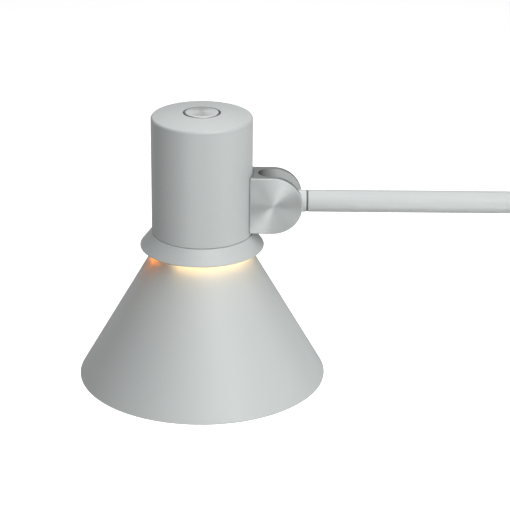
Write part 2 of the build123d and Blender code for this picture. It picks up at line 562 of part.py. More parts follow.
bolt = pin_y(PIVOT_R, -YOKE_OUT, YOKE_OUT + BOLT_HEAD)
head = pin_y(BOLT_HEAD_R, -YOKE_OUT - BOLT_HEAD, -YOKE_OUT)
head = fillet(head.faces().sort_by(Axis.Y)[0].edges(), BOLT_HEAD / 3)
parts["elbow_bolt"] = placed(bolt + head, ELBOW)
cap = pin_y(BOLT_HEAD_R, YOKE_OUT, YOKE_OUT + BOLT_HEAD)
cap = fillet(cap.faces().sort_by(Axis.Y)[-1].edges(), BOLT_HEAD / 3)
parts["elbow_nut"] = placed(cap - pin_y(PIVOT_R + SEAT, 0, 3 * YOKE_OUT), ELBOW)
tail_pin = pin_y(LINK_PIN_R, -YOKE_OUT, YOKE_OUT)
for side in (-1, 1):
    tail_pin += pin_y(PIN_HEAD_R, *sorted((side * YOKE_OUT, side * (YOKE_OUT + PIN_HEAD))))
parts["tail_pin"] = placed(tail_pin, TAIL_PIN)

# ------------------------------------------------------------------ head: housing and tilt fork
# Made about the head's own axis with z = 0 at the tilt pivot.
body = drum(BODY_R, COLLAR_TOP, BODY_CROWN + 1)
body &= Pos(0, 0, BODY_CROWN - CROWN_SPHERE_R) * Sphere(CROWN_SPHERE_R)
rims = body.edges().filter_by(lambda edge: edge.geom_type == GeomType.CIRCLE and edge.radius < 2 * BODY_R)
body = fillet(rims.sort_by(Axis.Z)[-1], BODY_EDGE_R)
body -= drum(BODY_IN_R, COLLAR_TOP - 1, BODY_CEILING)
body -= drum(BUTTON_R + BUTTON_GAP, BODY_CEILING - 1, BODY_CROWN + 1)
for side in (-1, 1):
    body -= pin_x(SCREW_R + SEAT, 0, BODY_R + 1, z=side * FORK_SCREW_Z)
parts["body_shell"] = placed(body, HEAD)

tilt_fork = nose_plate(0, PIVOT_X, FORK_NOSE_R, -fork_half, fork_half)
tilt_fork = soften(tilt_fork, [tilt_fork.faces().sort_by(Axis.Y)[0], tilt_fork.faces().sort_by(Axis.Y)[-1]],
                   FORK_EDGE)
tilt_fork -= drum(BODY_R + FORK_SHADOW, -2 * FORK_NOSE_R, 2 * FORK_NOSE_R)
pad = block(0, BODY_R + 2 * FORK_SHADOW, FORK_PAD_INSET - fork_half, fork_half - FORK_PAD_INSET,
            FORK_PAD_INSET - FORK_NOSE_R, FORK_NOSE_R - FORK_PAD_INSET)
tilt_fork += pad - drum(BODY_R, -2 * FORK_NOSE_R, 2 * FORK_NOSE_R)
slot_back = PIVOT_X - UPPER_TUBE_R - FORK_SLOT_BACK
slot_round = slot_back + slot_half
tilt_fork -= block(slot_round, PIVOT_X + 2 * FORK_NOSE_R, -slot_half, slot_half,
                   -2 * FORK_NOSE_R, 2 * FORK_NOSE_R)
tilt_fork -= drum(slot_half, -2 * FORK_NOSE_R, 2 * FORK_NOSE_R, x=slot_round)
tilt_fork -= pin_y(ARM_BOSS_R + FACE_GAP, -slot_half, slot_half, x=PIVOT_X)
blind = -fork_half + TILT_SKIN
tilt_fork -= pin_y(TILT_PIN_R + SEAT, blind, 2 * fork_half, x=PIVOT_X)
screw_end = slot_back - FORK_SHADOW
for side in (-1, 1):
    tilt_fork -= pin_x(SCREW_R, 0, screw_end, z=side * FORK_SCREW_Z)
parts["tilt_fork"] = placed(tilt_fork, HEAD)

tilt_bolt = pin_y(TILT_PIN_R, blind + SEAT, fork_half, x=PIVOT_X)
head = pin_y(TILT_HEAD_R, fork_half, fork_half + TILT_HEAD, x=PIVOT_X)
head = fillet(head.faces().sort_by(Axis.Y)[-1].edges(), TILT_HEAD / 4)
parts["tilt_bolt"] = placed(tilt_bolt + head, HEAD)

leg_out = BODY_IN_R - SEAT
leg_in = leg_out - BRACKET_THICK
fork_screws = []
for side in (-1, 1):
    screw = pin_x(SCREW_R - SEAT, leg_in - 1, screw_end - FACE_GAP, z=side * FORK_SCREW_Z)
    screw += pin_x(SCREW_HEAD_R, leg_in - SCREW_HEAD - FACE_GAP, leg_in - FACE_GAP, z=side * FORK_SCREW_Z)
    fork_screws.append(screw)
parts["fork_screws"] = placed(Compound(fork_screws), HEAD)

# ------------------------------------------------------------------ head: collar, shade and spider
collar_out = BODY_R + COLLAR_STEP
parts["collar"] = placed(turned(
    (BODY_IN_R - SEAT, COLLAR_TOP + COLLAR_SPIGOT), (BODY_IN_R - SEAT, COLLAR_TOP),
    (collar_out - COLLAR_BREAK, COLLAR_TOP), (collar_out, COLLAR_TOP - COLLAR_BREAK),
    (collar_out + COLLAR_FLARE, COLLAR_RIM), (collar_out + COLLAR_FLARE - COLLAR_WALL, COLLAR_RIM),
    (collar_out - COLLAR_WALL, COLLAR_TOP - COLLAR_WALL), (COLLAR_HOLE_R, COLLAR_TOP - COLLAR_WALL),
    (COLLAR_HOLE_R, COLLAR_TOP), (BODY_IN_R - COLLAR_WALL, COLLAR_TOP),
    (BODY_IN_R - COLLAR_WALL, COLLAR_TOP + COLLAR_SPIGOT)), HEAD)

parts["shade"] = placed(turned(
    (SHADE_TOP_R, SHADE_TOP), (SHADE_RIM_R, SHADE_RIM), (SHADE_RIM_R - SHADE_SIDE_WALL, SHADE_RIM),
    (SHADE_TOP_R - SHADE_SIDE_WALL, SHADE_TOP)), HEAD)

shoulder_low = COLLAR_TOP - HOLDER_SHOULDER_DROP - HOLDER_SHOULDER_THICK
spider_top = shoulder_low - SEAT
spider_low = spider_top - SPIDER_THICK
spider = drum(SPIDER_HUB_R, spider_low, spider_top)


def shade_inside(z):
    """The shade's inside radius at a height."""
    return SHADE_TOP_R - SHADE_SIDE_WALL + (SHADE_TOP - z) * SHADE_SLOPE


bend = SHADE_TOP - SPIDER_BEND_DROP
tab_end = SHADE_TOP - SPIDER_TAB_DROP
rivets = []
for angle in SPOKE_ANGLES:
    corners = [(SPIDER_HUB_R - SPIDER_ROOT, spider_top), (SPIDER_HUB_R, spider_top),
               (shade_inside(bend) - SEAT, bend), (shade_inside(tab_end) - SEAT, tab_end),
               (shade_inside(tab_end) - SEAT - SPIDER_THICK, tab_end),
               (shade_inside(bend) - SEAT - SPIDER_BEND_SHARE * SPIDER_THICK, bend),
               (SPIDER_HUB_R - SPIDER_THICK / 2, spider_low), (SPIDER_HUB_R - SPIDER_ROOT, spider_low)]
    outline = Wire.make_polygon([(r, -SPOKE_WIDTH / 2, z) for r, z in corners], close=True)
    spoke = extrude(Face(outline), amount=SPOKE_WIDTH, dir=(0, 1, 0))
    inside_shade = turned((0, spider_top + 1), (shade_inside(spider_top + 1) - SEAT, spider_top + 1),
                          (shade_inside(tab_end - 1) - SEAT, tab_end - 1), (0, tab_end - 1))
    rivet_z = (bend + tab_end) / 2
    rivet = Pos(shade_inside(rivet_z) - 2 * SPIDER_THICK, 0, rivet_z) * Rot(
        0, 90 - math.degrees(math.atan(SHADE_SLOPE)), 0) * Cylinder(RIVET_R, 2 * SPIDER_THICK)
    spider += Rot(0, 0, angle) * (spoke & inside_shade)
    rivets.append(Rot(0, 0, angle) * rivet)
spider -= drum(HOLDER_R + SEAT, spider_low - 1, spider_top + 1)
rivet_set = Compound(rivets)
parts["shade_spider"] = placed(spider - rivet_set, HEAD)
parts["spider_rivets"] = placed(rivet_set, HEAD)

# ------------------------------------------------------------------ head: lampholder and its fixing
socket_top = HOLDER_MOUTH + HOLDER_SOCKET_DEPTH
holder_top = BRACKET_Z - SEAT
shoulder_high = COLLAR_TOP - HOLDER_SHOULDER_DROP
parts["lampholder"] = placed(turned(
    (NIPPLE_R + SEAT, holder_top), (HOLDER_CAP_R - HOLDER_CAP_BEVEL, holder_top),
    (HOLDER_CAP_R, holder_top - HOLDER_CAP_BEVEL), (HOLDER_CAP_R, socket_top),
    (HOLDER_R, socket_top - HOLDER_STEP), (HOLDER_R, shoulder_high),
    (HOLDER_R + HOLDER_SHOULDER, shoulder_high), (HOLDER_R + HOLDER_SHOULDER, shoulder_low),
    (HOLDER_R, shoulder_low), (HOLDER_R, HOLDER_MOUTH), (HOLDER_SOCKET_R, HOLDER_MOUTH),
    (HOLDER_SOCKET_R, socket_top), (NIPPLE_R + SEAT, socket_top)), HEAD)
ring_top = spider_low - SEAT
parts["shade_ring"] = placed(
    drum(RING_R, ring_top - RING_HEIGHT, ring_top)
    - drum(HOLDER_R + SEAT, ring_top - RING_HEIGHT - 1, ring_top + 1), HEAD)
thread_in = HOLDER_SOCKET_R - THREAD_WALL
parts["thread_shell"] = placed(
    drum(HOLDER_SOCKET_R - SEAT, HOLDER_MOUTH + THREAD_INSET, socket_top - THREAD_SHORT)
    - drum(thread_in, HOLDER_MOUTH, socket_top), HEAD)
parts["centre_contact"] = placed(drum(CONTACT_R, socket_top - CONTACT_THICK, socket_top - SEAT), HEAD)

bar_top = BRACKET_Z + BRACKET_THICK
band = drum(leg_out, BRACKET_LEG_END, bar_top) - drum(leg_in, BRACKET_LEG_END - 1, BRACKET_Z)
band &= block(-BODY_R, BODY_R, -BRACKET_WIDTH / 2, BRACKET_WIDTH / 2, BRACKET_LEG_END, bar_top)
band -= drum(NIPPLE_R + SEAT, BRACKET_Z - 1, bar_top + 1)
for side in (-1, 1):
    band -= pin_x(SCREW_R + SEAT, 0, BODY_R, z=side * FORK_SCREW_Z)
parts["holder_bracket"] = placed(band, HEAD)
nipple_top = bar_top + NIPPLE_RISE
parts["nipple"] = placed(drum(NIPPLE_R, socket_top + NIPPLE_INSET, nipple_top)
                         - drum(NIPPLE_BORE_R, socket_top, nipple_top + 1), HEAD)
parts["nipple_nut"] = placed(hexagon(NUT_R, bar_top + SEAT, bar_top + NUT_THICK)
                             - drum(NIPPLE_R + SEAT, bar_top - 1, nipple_top + 1), HEAD)

# ------------------------------------------------------------------ head: switch and button
switch_top = BODY_CEILING - SEAT
stem_low = SWITCH_BOTTOM + BUTTON_STEM_RISE
neck_top = SWITCH_SHOULDER + SWITCH_NECK
switch = drum(SWITCH_R, SWITCH_BOTTOM, SWITCH_SHOULDER)
switch += drum(SWITCH_R + SWITCH_FLANGE, SWITCH_SHOULDER - SWITCH_FLANGE_THICK, switch_top)
switch -= drum(BUTTON_R + BUTTON_GAP, SWITCH_SHOULDER, switch_top + 1)
switch += drum(SWITCH_NECK_R, SWITCH_SHOULDER - 1, neck_top)
switch -= drum(BUTTON_STEM_R + RUNNING, stem_low - BUTTON_OVERRUN, BODY_CEILING + 1)
parts["switch_body"] = placed(switch, HEAD)

crown_at_hole = math.sqrt(CROWN_SPHERE_R ** 2 - (BUTTON_R + BUTTON_GAP) ** 2)
button_top = BODY_CROWN - CROWN_SPHERE_R + crown_at_hole + BUTTON_PROUD
button_low = button_top - BUTTON_THICK
parts["button_cap"] = placed(turned(
    (0, button_top + BUTTON_DOME), (BUTTON_R - BUTTON_BEVEL, button_top),
    (BUTTON_R - BUTTON_BEVEL / 4, button_top - BUTTON_BEVEL / 3),
    (BUTTON_R, button_top - BUTTON_BEVEL), (BUTTON_R, button_low),
    (BUTTON_STEM_R, button_low), (BUTTON_STEM_R, stem_low), (0, stem_low)), HEAD)
parts["button_spring"] = placed(
    drum(BUTTON_SPRING_R, neck_top, button_low)
    - drum(BUTTON_SPRING_R - BUTTON_SPRING_WIRE, neck_top - 1, button_low + 1), HEAD)

# ------------------------------------------------------------------ head: lamp
globe_z = HOLDER_MOUTH - BULB_CENTRE_DROP
glass_top = HOLDER_MOUTH + BULB_SEAT


def globe_wall(inset):
    """The globe's outline from its neck down to its lowest point, inset from the outside."""
    radius, neck_r = BULB_R - inset, BULB_NECK_R - inset
    turn = math.radians(BULB_TANGENT)
    meet = Vector(radius * math.sin(turn), 0, globe_z + radius * math.cos(turn))
    bottom_side = Vector(radius * math.sin(math.pi * 0.75), 0, globe_z + radius * math.cos(math.pi * 0.75))
    start, waist = Vector(neck_r, 0, glass_top), Vector(neck_r, 0, glass_top - BULB_NECK)
    return [
        Edge.make_line(start, waist),
        Edge.make_spline([waist, meet], tangents=[(0, 0, -1), (math.cos(turn), 0, -math.sin(turn))]),
        Edge.make_three_point_arc(meet, bottom_side, Vector(0, 0, globe_z - radius)),
    ]


outer, inner = globe_wall(0), globe_wall(BULB_WALL)
ends = [Edge.make_line((BULB_NECK_R, 0, glass_top), (BULB_NECK_R - BULB_WALL, 0, glass_top)),
        Edge.make_line((0, 0, globe_z - BULB_R), (0, 0, globe_z - BULB_R + BULB_WALL))]
parts["bulb_globe"] = placed(revolve(Face(Wire(outer + inner + ends)), Axis.Z), HEAD)
cap_r = thread_in - BULB_CAP_CLEAR
cap_top = socket_top - BULB_CAP_DROP
parts["bulb_cap"] = placed(turned(
    (0, cap_top + BULB_TIP), (BULB_TIP_R, cap_top + BULB_TIP), (BULB_TIP_R + BULB_TIP_SLOPE, cap_top),
    (cap_r - BULB_CAP_BEVEL, cap_top), (cap_r, cap_top - BULB_CAP_BEVEL),
    (cap_r, glass_top - BULB_CAP_SKIRT), (BULB_NECK_R + SEAT, glass_top - BULB_CAP_SKIRT),
    (BULB_NECK_R + SEAT, glass_top + SEAT), (0, glass_top + SEAT)), HEAD)

# ------------------------------------------------------------------ files
os.makedirs("parts", exist_ok=True)
for name, solid in parts.items():
    export_step(solid if isinstance(solid, Compound) else Compound([solid]), f"parts/{name}.step")
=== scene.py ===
import bmesh
import bpy
import json
import math
from mathutils import Matrix, Vector


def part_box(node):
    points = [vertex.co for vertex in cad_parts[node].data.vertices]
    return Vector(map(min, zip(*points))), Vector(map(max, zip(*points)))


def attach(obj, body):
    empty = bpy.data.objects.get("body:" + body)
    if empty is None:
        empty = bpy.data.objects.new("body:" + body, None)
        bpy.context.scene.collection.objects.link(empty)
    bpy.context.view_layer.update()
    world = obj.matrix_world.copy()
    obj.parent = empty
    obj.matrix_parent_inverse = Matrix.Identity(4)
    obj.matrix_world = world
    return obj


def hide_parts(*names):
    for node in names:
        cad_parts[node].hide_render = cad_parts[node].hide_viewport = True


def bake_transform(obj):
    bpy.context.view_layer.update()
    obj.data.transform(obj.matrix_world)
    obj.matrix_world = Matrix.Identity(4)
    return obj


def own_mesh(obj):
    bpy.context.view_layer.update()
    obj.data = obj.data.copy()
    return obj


# Architect desk lamp, followed from the desk up: base, swivel, lower arm with its springs, crank and link,
# upper arm, then the head with its housing, collar, shade, lampholder, lamp and push button.
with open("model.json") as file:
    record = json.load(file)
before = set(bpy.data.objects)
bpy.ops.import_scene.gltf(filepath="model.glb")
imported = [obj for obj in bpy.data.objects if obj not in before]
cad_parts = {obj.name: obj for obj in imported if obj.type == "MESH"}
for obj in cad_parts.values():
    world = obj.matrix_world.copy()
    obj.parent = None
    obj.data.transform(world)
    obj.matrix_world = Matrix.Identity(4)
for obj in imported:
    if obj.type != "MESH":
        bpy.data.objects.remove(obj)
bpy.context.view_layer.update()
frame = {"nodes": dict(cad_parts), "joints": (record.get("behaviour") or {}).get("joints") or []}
node = frame["nodes"]


# ---------------------------------------------------------------- base pad
# Moulded rubber disc glued under the base, so that the lamp stays put and doesn't mark the desk.
# It is dull, slightly dusty and very finely pitted.
def begin_finish(name, colour, metallic, roughness):
    """A new material: itself, its tree, its shader, and the piece's own coordinates in metres."""
    material = bpy.data.materials.new(name)
    material.use_nodes = True
    tree = material.node_tree
    shader = tree.nodes["Principled BSDF"]
    shader.inputs["Base Color"].default_value = (*colour, 1)
    shader.inputs["Metallic"].default_value = metallic
    shader.inputs["Roughness"].default_value = roughness
    return material, tree, shader, tree.nodes.new("ShaderNodeTexCoord").outputs["Object"]


def grain(tree, place, per_metre, detail=2.0):
    """Soft random cloud, so many to a metre."""
    cloud = tree.nodes.new("ShaderNodeTexNoise")
    cloud.inputs["Scale"].default_value = per_metre
    cloud.inputs["Detail"].default_value = detail
    tree.links.new(place, cloud.inputs["Vector"])
    return cloud.outputs["Fac"]


def vary_colour(tree, shader, amount, dark, light):
    """The base colour runs between two colours with the amount."""
    mix = tree.nodes.new("ShaderNodeMix")
    mix.data_type = "RGBA"
    mix.inputs[6].default_value = (*dark, 1)
    mix.inputs[7].default_value = (*light, 1)
    tree.links.new(amount, mix.inputs[0])
    tree.links.new(mix.outputs[2], shader.inputs["Base Color"])


def vary_roughness(tree, shader, amount, low, high):
    """The roughness runs from low to high with the amount."""
    span = tree.nodes.new("ShaderNodeMapRange")
    span.inputs["To Min"].default_value = low
    span.inputs["To Max"].default_value = high
    tree.links.new(amount, span.inputs["Value"])
    tree.links.new(span.outputs["Result"], shader.inputs["Roughness"])


def emboss(tree, shader, amount, depth):
    """Raises the surface by up to depth, in metres, with the amount."""
    relief = tree.nodes.new("ShaderNodeBump")
    relief.inputs["Distance"].default_value = depth
    tree.links.new(amount, relief.inputs["Height"])
    if shader.inputs["Normal"].links:
        tree.links.new(shader.inputs["Normal"].links[0].from_socket, relief.inputs["Normal"])
    tree.links.new(relief.outputs["Normal"], shader.inputs["Normal"])


def shades_of(colour, spread):
    """The same colour a little darker and a little lighter."""
    return tuple(c * (1 - spread) for c in colour), tuple(min(1, c * (1 + spread)) for c in colour)


def coat(piece, material):
    """Puts one material on the whole piece."""
    piece.data.materials.clear()
    piece.data.materials.append(material)


def dull_moulding(name, colour, roughness, pits_per_metre, pit_depth):
    """Rubber or plastic straight from the mould."""
    material, tree, shader, place = begin_finish(name, colour, 0.0, roughness)
    dust = grain(tree, place, 60, detail=4)
    vary_colour(tree, shader, dust, *shades_of(colour, 0.35))
    vary_roughness(tree, shader, dust, roughness - 0.08, roughness + 0.08)
    emboss(tree, shader, grain(tree, place, pits_per_metre), pit_depth)
    return material


pad_rubber = dull_moulding("pad_rubber", (0.030, 0.030, 0.031), 0.82, 1500, 0.00012)
coat(node["base_pad"], pad_rubber)


# ---------------------------------------------------------------- base plate and its screws
# Pressed steel disc under the weight, held up into the cover by four pan-head screws. Both are
# zinc plated, which leaves a bright, slightly cloudy grey with a faint crystal grain.
def plating(name, colour, roughness):
    """Bright plated steel with cloudy patches."""
    material, tree, shader, place = begin_finish(name, colour, 1.0, roughness)
    cloud = grain(tree, place, 180, detail=5)
    vary_colour(tree, shader, cloud, *shades_of(colour, 0.14))
    vary_roughness(tree, shader, cloud, roughness - 0.07, roughness + 0.12)
    emboss(tree, shader, grain(tree, place, 2600), 0.000012)
    return material


zinc = plating("zinc", (0.60, 0.61, 0.63), 0.33)
for part in ("base_plate", "base_screws"):
    coat(node[part], zinc)

# ---------------------------------------------------------------- base weight
# Grey iron casting that fills the cover. Its skin is left as it came from the sand, dark and pebbled,
# with the odd rusty bloom.
iron, iron_tree, iron_shader, iron_place = begin_finish("cast_iron", (0.085, 0.082, 0.080), 0.55, 0.68)
vary_colour(iron_tree, iron_shader, grain(iron_tree, iron_place, 45, detail=6), (0.055, 0.055, 0.056),
            (0.16, 0.125, 0.105))
emboss(iron_tree, iron_shader, grain(iron_tree, iron_place, 700, detail=4), 0.00035)
coat(node["base_weight"], iron)


# ---------------------------------------------------------------- base cover
# Aluminium disc turned with a rounded shoulder, bead blasted and satin coated in silver grey.
# The coat has a fine pearl grain and lies a touch thicker in some places than in others.
SILVER_GREY = (0.505, 0.528, 0.524)


def satin(name, colour=SILVER_GREY, metallic=0.12, roughness=0.50):
    """The lamp's satin coat."""
    material, tree, shader, place = begin_finish(name, colour, metallic, roughness)
    pearl = grain(tree, place, 1300)
    vary_colour(tree, shader, pearl, *shades_of(colour, 0.05))
    vary_roughness(tree, shader, grain(tree, place, 35, detail=3), roughness - 0.05, roughness + 0.05)
    emboss(tree, shader, pearl, 0.000016)
    emboss(tree, shader, grain(tree, place, 90), 0.00002)
    return material


satin_grey = satin("satin_grey")
coat(node["base_cover"], satin_grey)

# ---------------------------------------------------------------- cable gland
# Nylon gland screwed into the back of the base with a nut inside. Its flange has a ring of small
# moulded ribs, so that it can be gripped while the nut is done up.
gland_plastic = dull_moulding("gland_plastic", (0.022, 0.022, 0.023), 0.48, 2200, 0.00003)
for part in ("cable_gland", "gland_nut"):
    coat(node[part], gland_plastic)

GRIP_RIBS = 28
GRIP_RIB_R = 0.00045
GRIP_RIB_LENGTH = 0.0012
FLANGE_MIDDLE = 0.0016     # from the gland's outer face
gland_low, gland_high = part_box("cable_gland")
gland_flange_r = (gland_high.z - gland_low.z) / 2


def named_inputs(tree, **sockets):
    """Adds the tree's inputs, each a name with its socket type, and returns their sockets by name."""
    for name, kind in sockets.items():
        tree.interface.new_socket(name, in_out="INPUT", socket_type=kind)
    entry = tree.nodes.new("NodeGroupInput")
    return {name: entry.outputs[name] for name in sockets}


def run_nodes(thing, tree, name, **values):
    """Runs a geometry tree on the object with these input values, and returns a plain mesh object."""
    modifier = thing.modifiers.new(tree.name, "NODES")
    modifier.node_group = tree
    for item in tree.interface.items_tree:
        if item.in_out == "INPUT" and item.name in values:
            modifier[item.identifier] = values[item.name]
    made = thing.evaluated_get(bpy.context.evaluated_depsgraph_get())
    mesh = bpy.data.meshes.new_from_object(made)
    bpy.data.objects.remove(thing)
    return shown(name, mesh)


def shown(name, mesh):
    """An object for a finished mesh, at the origin."""
    mesh.name = name
    piece = bpy.data.objects.new(name, mesh)
    bpy.context.scene.collection.objects.link(piece)
    return piece


ribs = bpy.data.node_groups.new("ring_of_ribs", "GeometryNodeTree")
given = named_inputs(ribs, Count="NodeSocketInt", RingRadius="NodeSocketFloat",
                     RibRadius="NodeSocketFloat", RibLength="NodeSocketFloat",
                     Finish="NodeSocketMaterial")
ribs.interface.new_socket("Geometry", in_out="OUTPUT", socket_type="NodeSocketGeometry")
ring = ribs.nodes.new("GeometryNodeMeshCircle")
rib = ribs.nodes.new("GeometryNodeMeshCylinder")
rib.inputs["Vertices"].default_value = 10
spots = ribs.nodes.new("GeometryNodeInstanceOnPoints")
real = ribs.nodes.new("GeometryNodeRealizeInstances")
smooth = ribs.nodes.new("GeometryNodeSetShadeSmooth")
paint = ribs.nodes.new("GeometryNodeSetMaterial")
ribs_out = ribs.nodes.new("NodeGroupOutput")
ribs.links.new(given["Count"], ring.inputs["Vertices"])
ribs.links.new(given["RingRadius"], ring.inputs["Radius"])
ribs.links.new(given["RibRadius"], rib.inputs["Radius"])
ribs.links.new(given["RibLength"], rib.inputs["Depth"])
ribs.links.new(ring.outputs["Mesh"], spots.inputs["Points"])
ribs.links.new(rib.outputs["Mesh"], spots.inputs["Instance"])
ribs.links.new(spots.outputs["Instances"], real.inputs["Geometry"])
ribs.links.new(real.outputs["Geometry"], smooth.inputs["Geometry"])
ribs.links.new(smooth.outputs["Geometry"], paint.inputs["Geometry"])
ribs.links.new(given["Finish"], paint.inputs["Material"])
ribs.links.new(paint.outputs["Geometry"], ribs_out.inputs["Geometry"])


def empty_mesh_object(name):
    """A mesh object with nothing in it, for a geometry tree to fill."""
    thing = bpy.data.objects.new(name, bpy.data.meshes.new(name))
    bpy.context.scene.collection.objects.link(thing)
    return thing


gland_ribs = run_nodes(empty_mesh_object("ribs"), ribs, "gland_ribs", Count=GRIP_RIBS,
                       RingRadius=gland_flange_r - GRIP_RIB_R / 3, RibRadius=GRIP_RIB_R,
                       RibLength=GRIP_RIB_LENGTH, Finish=gland_plastic)
flange_middle = Vector((gland_high.x - FLANGE_MIDDLE, 0, (gland_low.z + gland_high.z) / 2))
gland_ribs.data.transform(Matrix.Translation(flange_middle) @ Matrix.Rotation(math.pi / 2, 4, "Y"))
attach(gland_ribs, "base")

# ---------------------------------------------------------------- swivel: bush, spindle and nut
# Acetal bush pressed into the weight, and a hollow plated spindle that the whole lamp turns on.
# A flat hexagon nut under the weight holds it in.
bush_plastic = dull_moulding("bush_plastic", (0.028, 0.028, 0.030), 0.38, 1800, 0.00002)
coat(node["swivel_bush"], bush_plastic)
for part in ("swivel_spindle", "swivel_nut"):
    coat(node[part], zinc)

# ---------------------------------------------------------------- shoulder fork
# Aluminium fork machined in one with its round flange, then satin coated. The cutter's fine rings
# still show through the coat on its flat faces, round the bolt.
pivot = {j["name"]: Vector(j["pos_m"]) for j in frame["joints"] if "pos_m" in j}
ALONG_Y = Vector((0, 1, 0))


def about(tree, place, centre, along):
    """The direction of travel round an axis, for the lie of turning marks, and the distance from it."""
    arm = tree.nodes.new("ShaderNodeVectorMath")
    arm.operation = "SUBTRACT"
    arm.inputs[1].default_value = centre
    tree.links.new(place, arm.inputs[0])
    round_it = tree.nodes.new("ShaderNodeVectorMath")
    round_it.operation = "CROSS_PRODUCT"
    round_it.inputs[0].default_value = along
    tree.links.new(arm.outputs["Vector"], round_it.inputs[1])
    distance = tree.nodes.new("ShaderNodeVectorMath")
    distance.operation = "LENGTH"
    tree.links.new(round_it.outputs["Vector"], distance.inputs[0])
    return round_it.outputs["Vector"], distance.outputs["Value"]


def lie_along(tree, shader, direction, strength):
    """The shine stretches across marks that lie along the direction."""
    world = tree.nodes.new("ShaderNodeVectorTransform")
    world.vector_type = "VECTOR"
    world.convert_from = "OBJECT"
    world.convert_to = "WORLD"
    tree.links.new(direction, world.inputs[0])
    tree.links.new(world.outputs[0], shader.inputs["Tangent"])
    shader.inputs["Anisotropic"].default_value = strength


def tool_lines(tree, distance, per_metre):
    """Uneven fine lines that repeat with a distance."""
    lines = tree.nodes.new("ShaderNodeTexNoise")
    lines.noise_dimensions = "1D"
    lines.inputs["Scale"].default_value = per_metre
    lines.inputs["Detail"].default_value = 2.0
    tree.links.new(distance, lines.inputs["W"])
    return lines.outputs["Fac"]


def turned_satin(name, centre, along, colour=SILVER_GREY, metallic=0.4, roughness=0.42, stretch=0.8):
    """Satin coat over a turned face: fine rings round the axis and a shine that fans out from it."""
    material, tree, shader, place = begin_finish(name, colour, metallic, roughness)
    travel, distance = about(tree, place, centre, along)
    lie_along(tree, shader, travel, stretch)
    rings = tool_lines(tree, distance, 2600)
    vary_colour(tree, shader, rings, *shades_of(colour, 0.05))
    vary_roughness(tree, shader, grain(tree, place, 60, detail=3), roughness - 0.04, roughness + 0.04)
    emboss(tree, shader, rings, 0.000012)
    return material


coat(node["shoulder_fork"], turned_satin("fork_rings", pivot["shoulder"], ALONG_Y))

# ---------------------------------------------------------------- shoulder bolt and sleeve nut
# Stainless bolt with a low round head and a hexagon socket, and a sleeve nut with the same head on
# the back. They are turned from bar and left bright, with rings from the lathe on their faces.
SHARP_ANGLE = math.radians(38)     # a sharper corner than this shows as an edge


def lathe(name, outline, centre, along, sides=72, hexagon_rows=()):
    """A closed solid turned from (radius, distance along the axis) corners.
    The rows listed follow a hexagon."""
    turn = along.to_track_quat("Z", "Y").to_matrix().to_4x4()
    points, faces, rows = [], [], []
    for row, (radius, far) in enumerate(outline):
        if radius == 0:
            rows.append([len(points)])
            points.append((0, 0, far))
            continue
        rows.append(range(len(points), len(points) + sides))
        for side in range(sides):
            angle = 2 * math.pi * side / sides
            reach = radius
            if row in hexagon_rows:
                reach = radius * math.cos(math.pi / 6) / math.cos(angle % (math.pi / 3) - math.pi / 6)
            points.append((reach * math.cos(angle), reach * math.sin(angle), far))
    closed = outline[0][0] > 0
    pairs = [(rows[i], rows[i + 1]) for i in range(len(rows) - 1)]
    if closed:
        pairs.append((rows[-1], rows[0]))
    for low, high in pairs:
        for side in range(sides):
            ahead = (side + 1) % sides
            if len(low) == 1:
                faces.append((low[0], high[ahead], high[side]))
            elif len(high) == 1:
                faces.append((low[side], low[ahead], high[0]))
            else:
                faces.append((low[side], low[ahead], high[ahead], high[side]))
    mesh = bpy.data.meshes.new(name)
    mesh.from_pydata(points, [], faces)
    mesh.transform(Matrix.Translation(centre) @ turn)
    face_outwards(mesh)
    mesh.shade_smooth()
    mesh.set_sharp_from_angle(angle=SHARP_ANGLE)
    return shown(name, mesh)


def face_outwards(mesh):
    """Turns every face of a closed mesh to point outwards."""
    work = bmesh.new()
    work.from_mesh(mesh)
    bmesh.ops.recalc_face_normals(work, faces=work.faces)
    work.to_mesh(mesh)
    work.free()


CORNER_STEPS = 4


def rounded(corners, closed=True):
    """The outline with each (radius, distance, corner radius) corner rounded, and held flat beside it."""
    made = []
    count = len(corners)
    for i, (r, z, corner_r) in enumerate(corners):
        here = Vector((r, z))
        if corner_r == 0 or (not closed and i in (0, count - 1)):
            made.append((r, z))
            continue
        before = Vector(corners[i - 1][:2]) - here
        after = Vector(corners[(i + 1) % count][:2]) - here
        half = before.angle(after) / 2
        back = corner_r / math.tan(half)
        start, end = here + before.normalized() * back, here + after.normalized() * back
        bisector = (before.normalized() + after.normalized()).normalized()
        middle = here + bisector * corner_r / math.sin(half)
        hold = min(0.6 * corner_r, 0.4 * (before.length - back), 0.4 * (after.length - back))
        made.append(tuple(start + before.normalized() * hold))
        for step in range(CORNER_STEPS + 1):
            spoke = (start - middle).lerp(end - middle, step / CORNER_STEPS).normalized() * corner_r
            made.append(tuple(middle + spoke))
        made.append(tuple(end + after.normalized() * hold))
    return made


SOCKET_SHARE = 0.50        # the hexagon's corners, as a share of the head's radius
SHANK_SHARE = 0.53         # the shank, as a share of the head's radius
SOCKET_DEPTH = 0.0018
SOCKET_CONE = 0.0006       # the drill's point under the hexagon
SOCKET_LEAD = 0.0003       # the chamfer round the socket's mouth
SHANK_CHAMFER = 0.0004
HEAD_ROUND = 0.0009
bright, bright_tree, bright_shader, bright_place = begin_finish("bright_bar", (0.66, 0.66, 0.65), 1.0, 0.24)
bright_marks = grain(bright_tree, bright_place, 1500)
vary_roughness(bright_tree, bright_shader, bright_marks, 0.18, 0.32)
vary_colour(bright_tree, bright_shader, bright_marks, (0.60, 0.60, 0.595), (0.70, 0.70, 0.69))
emboss(bright_tree, bright_shader, bright_marks, 0.000006)


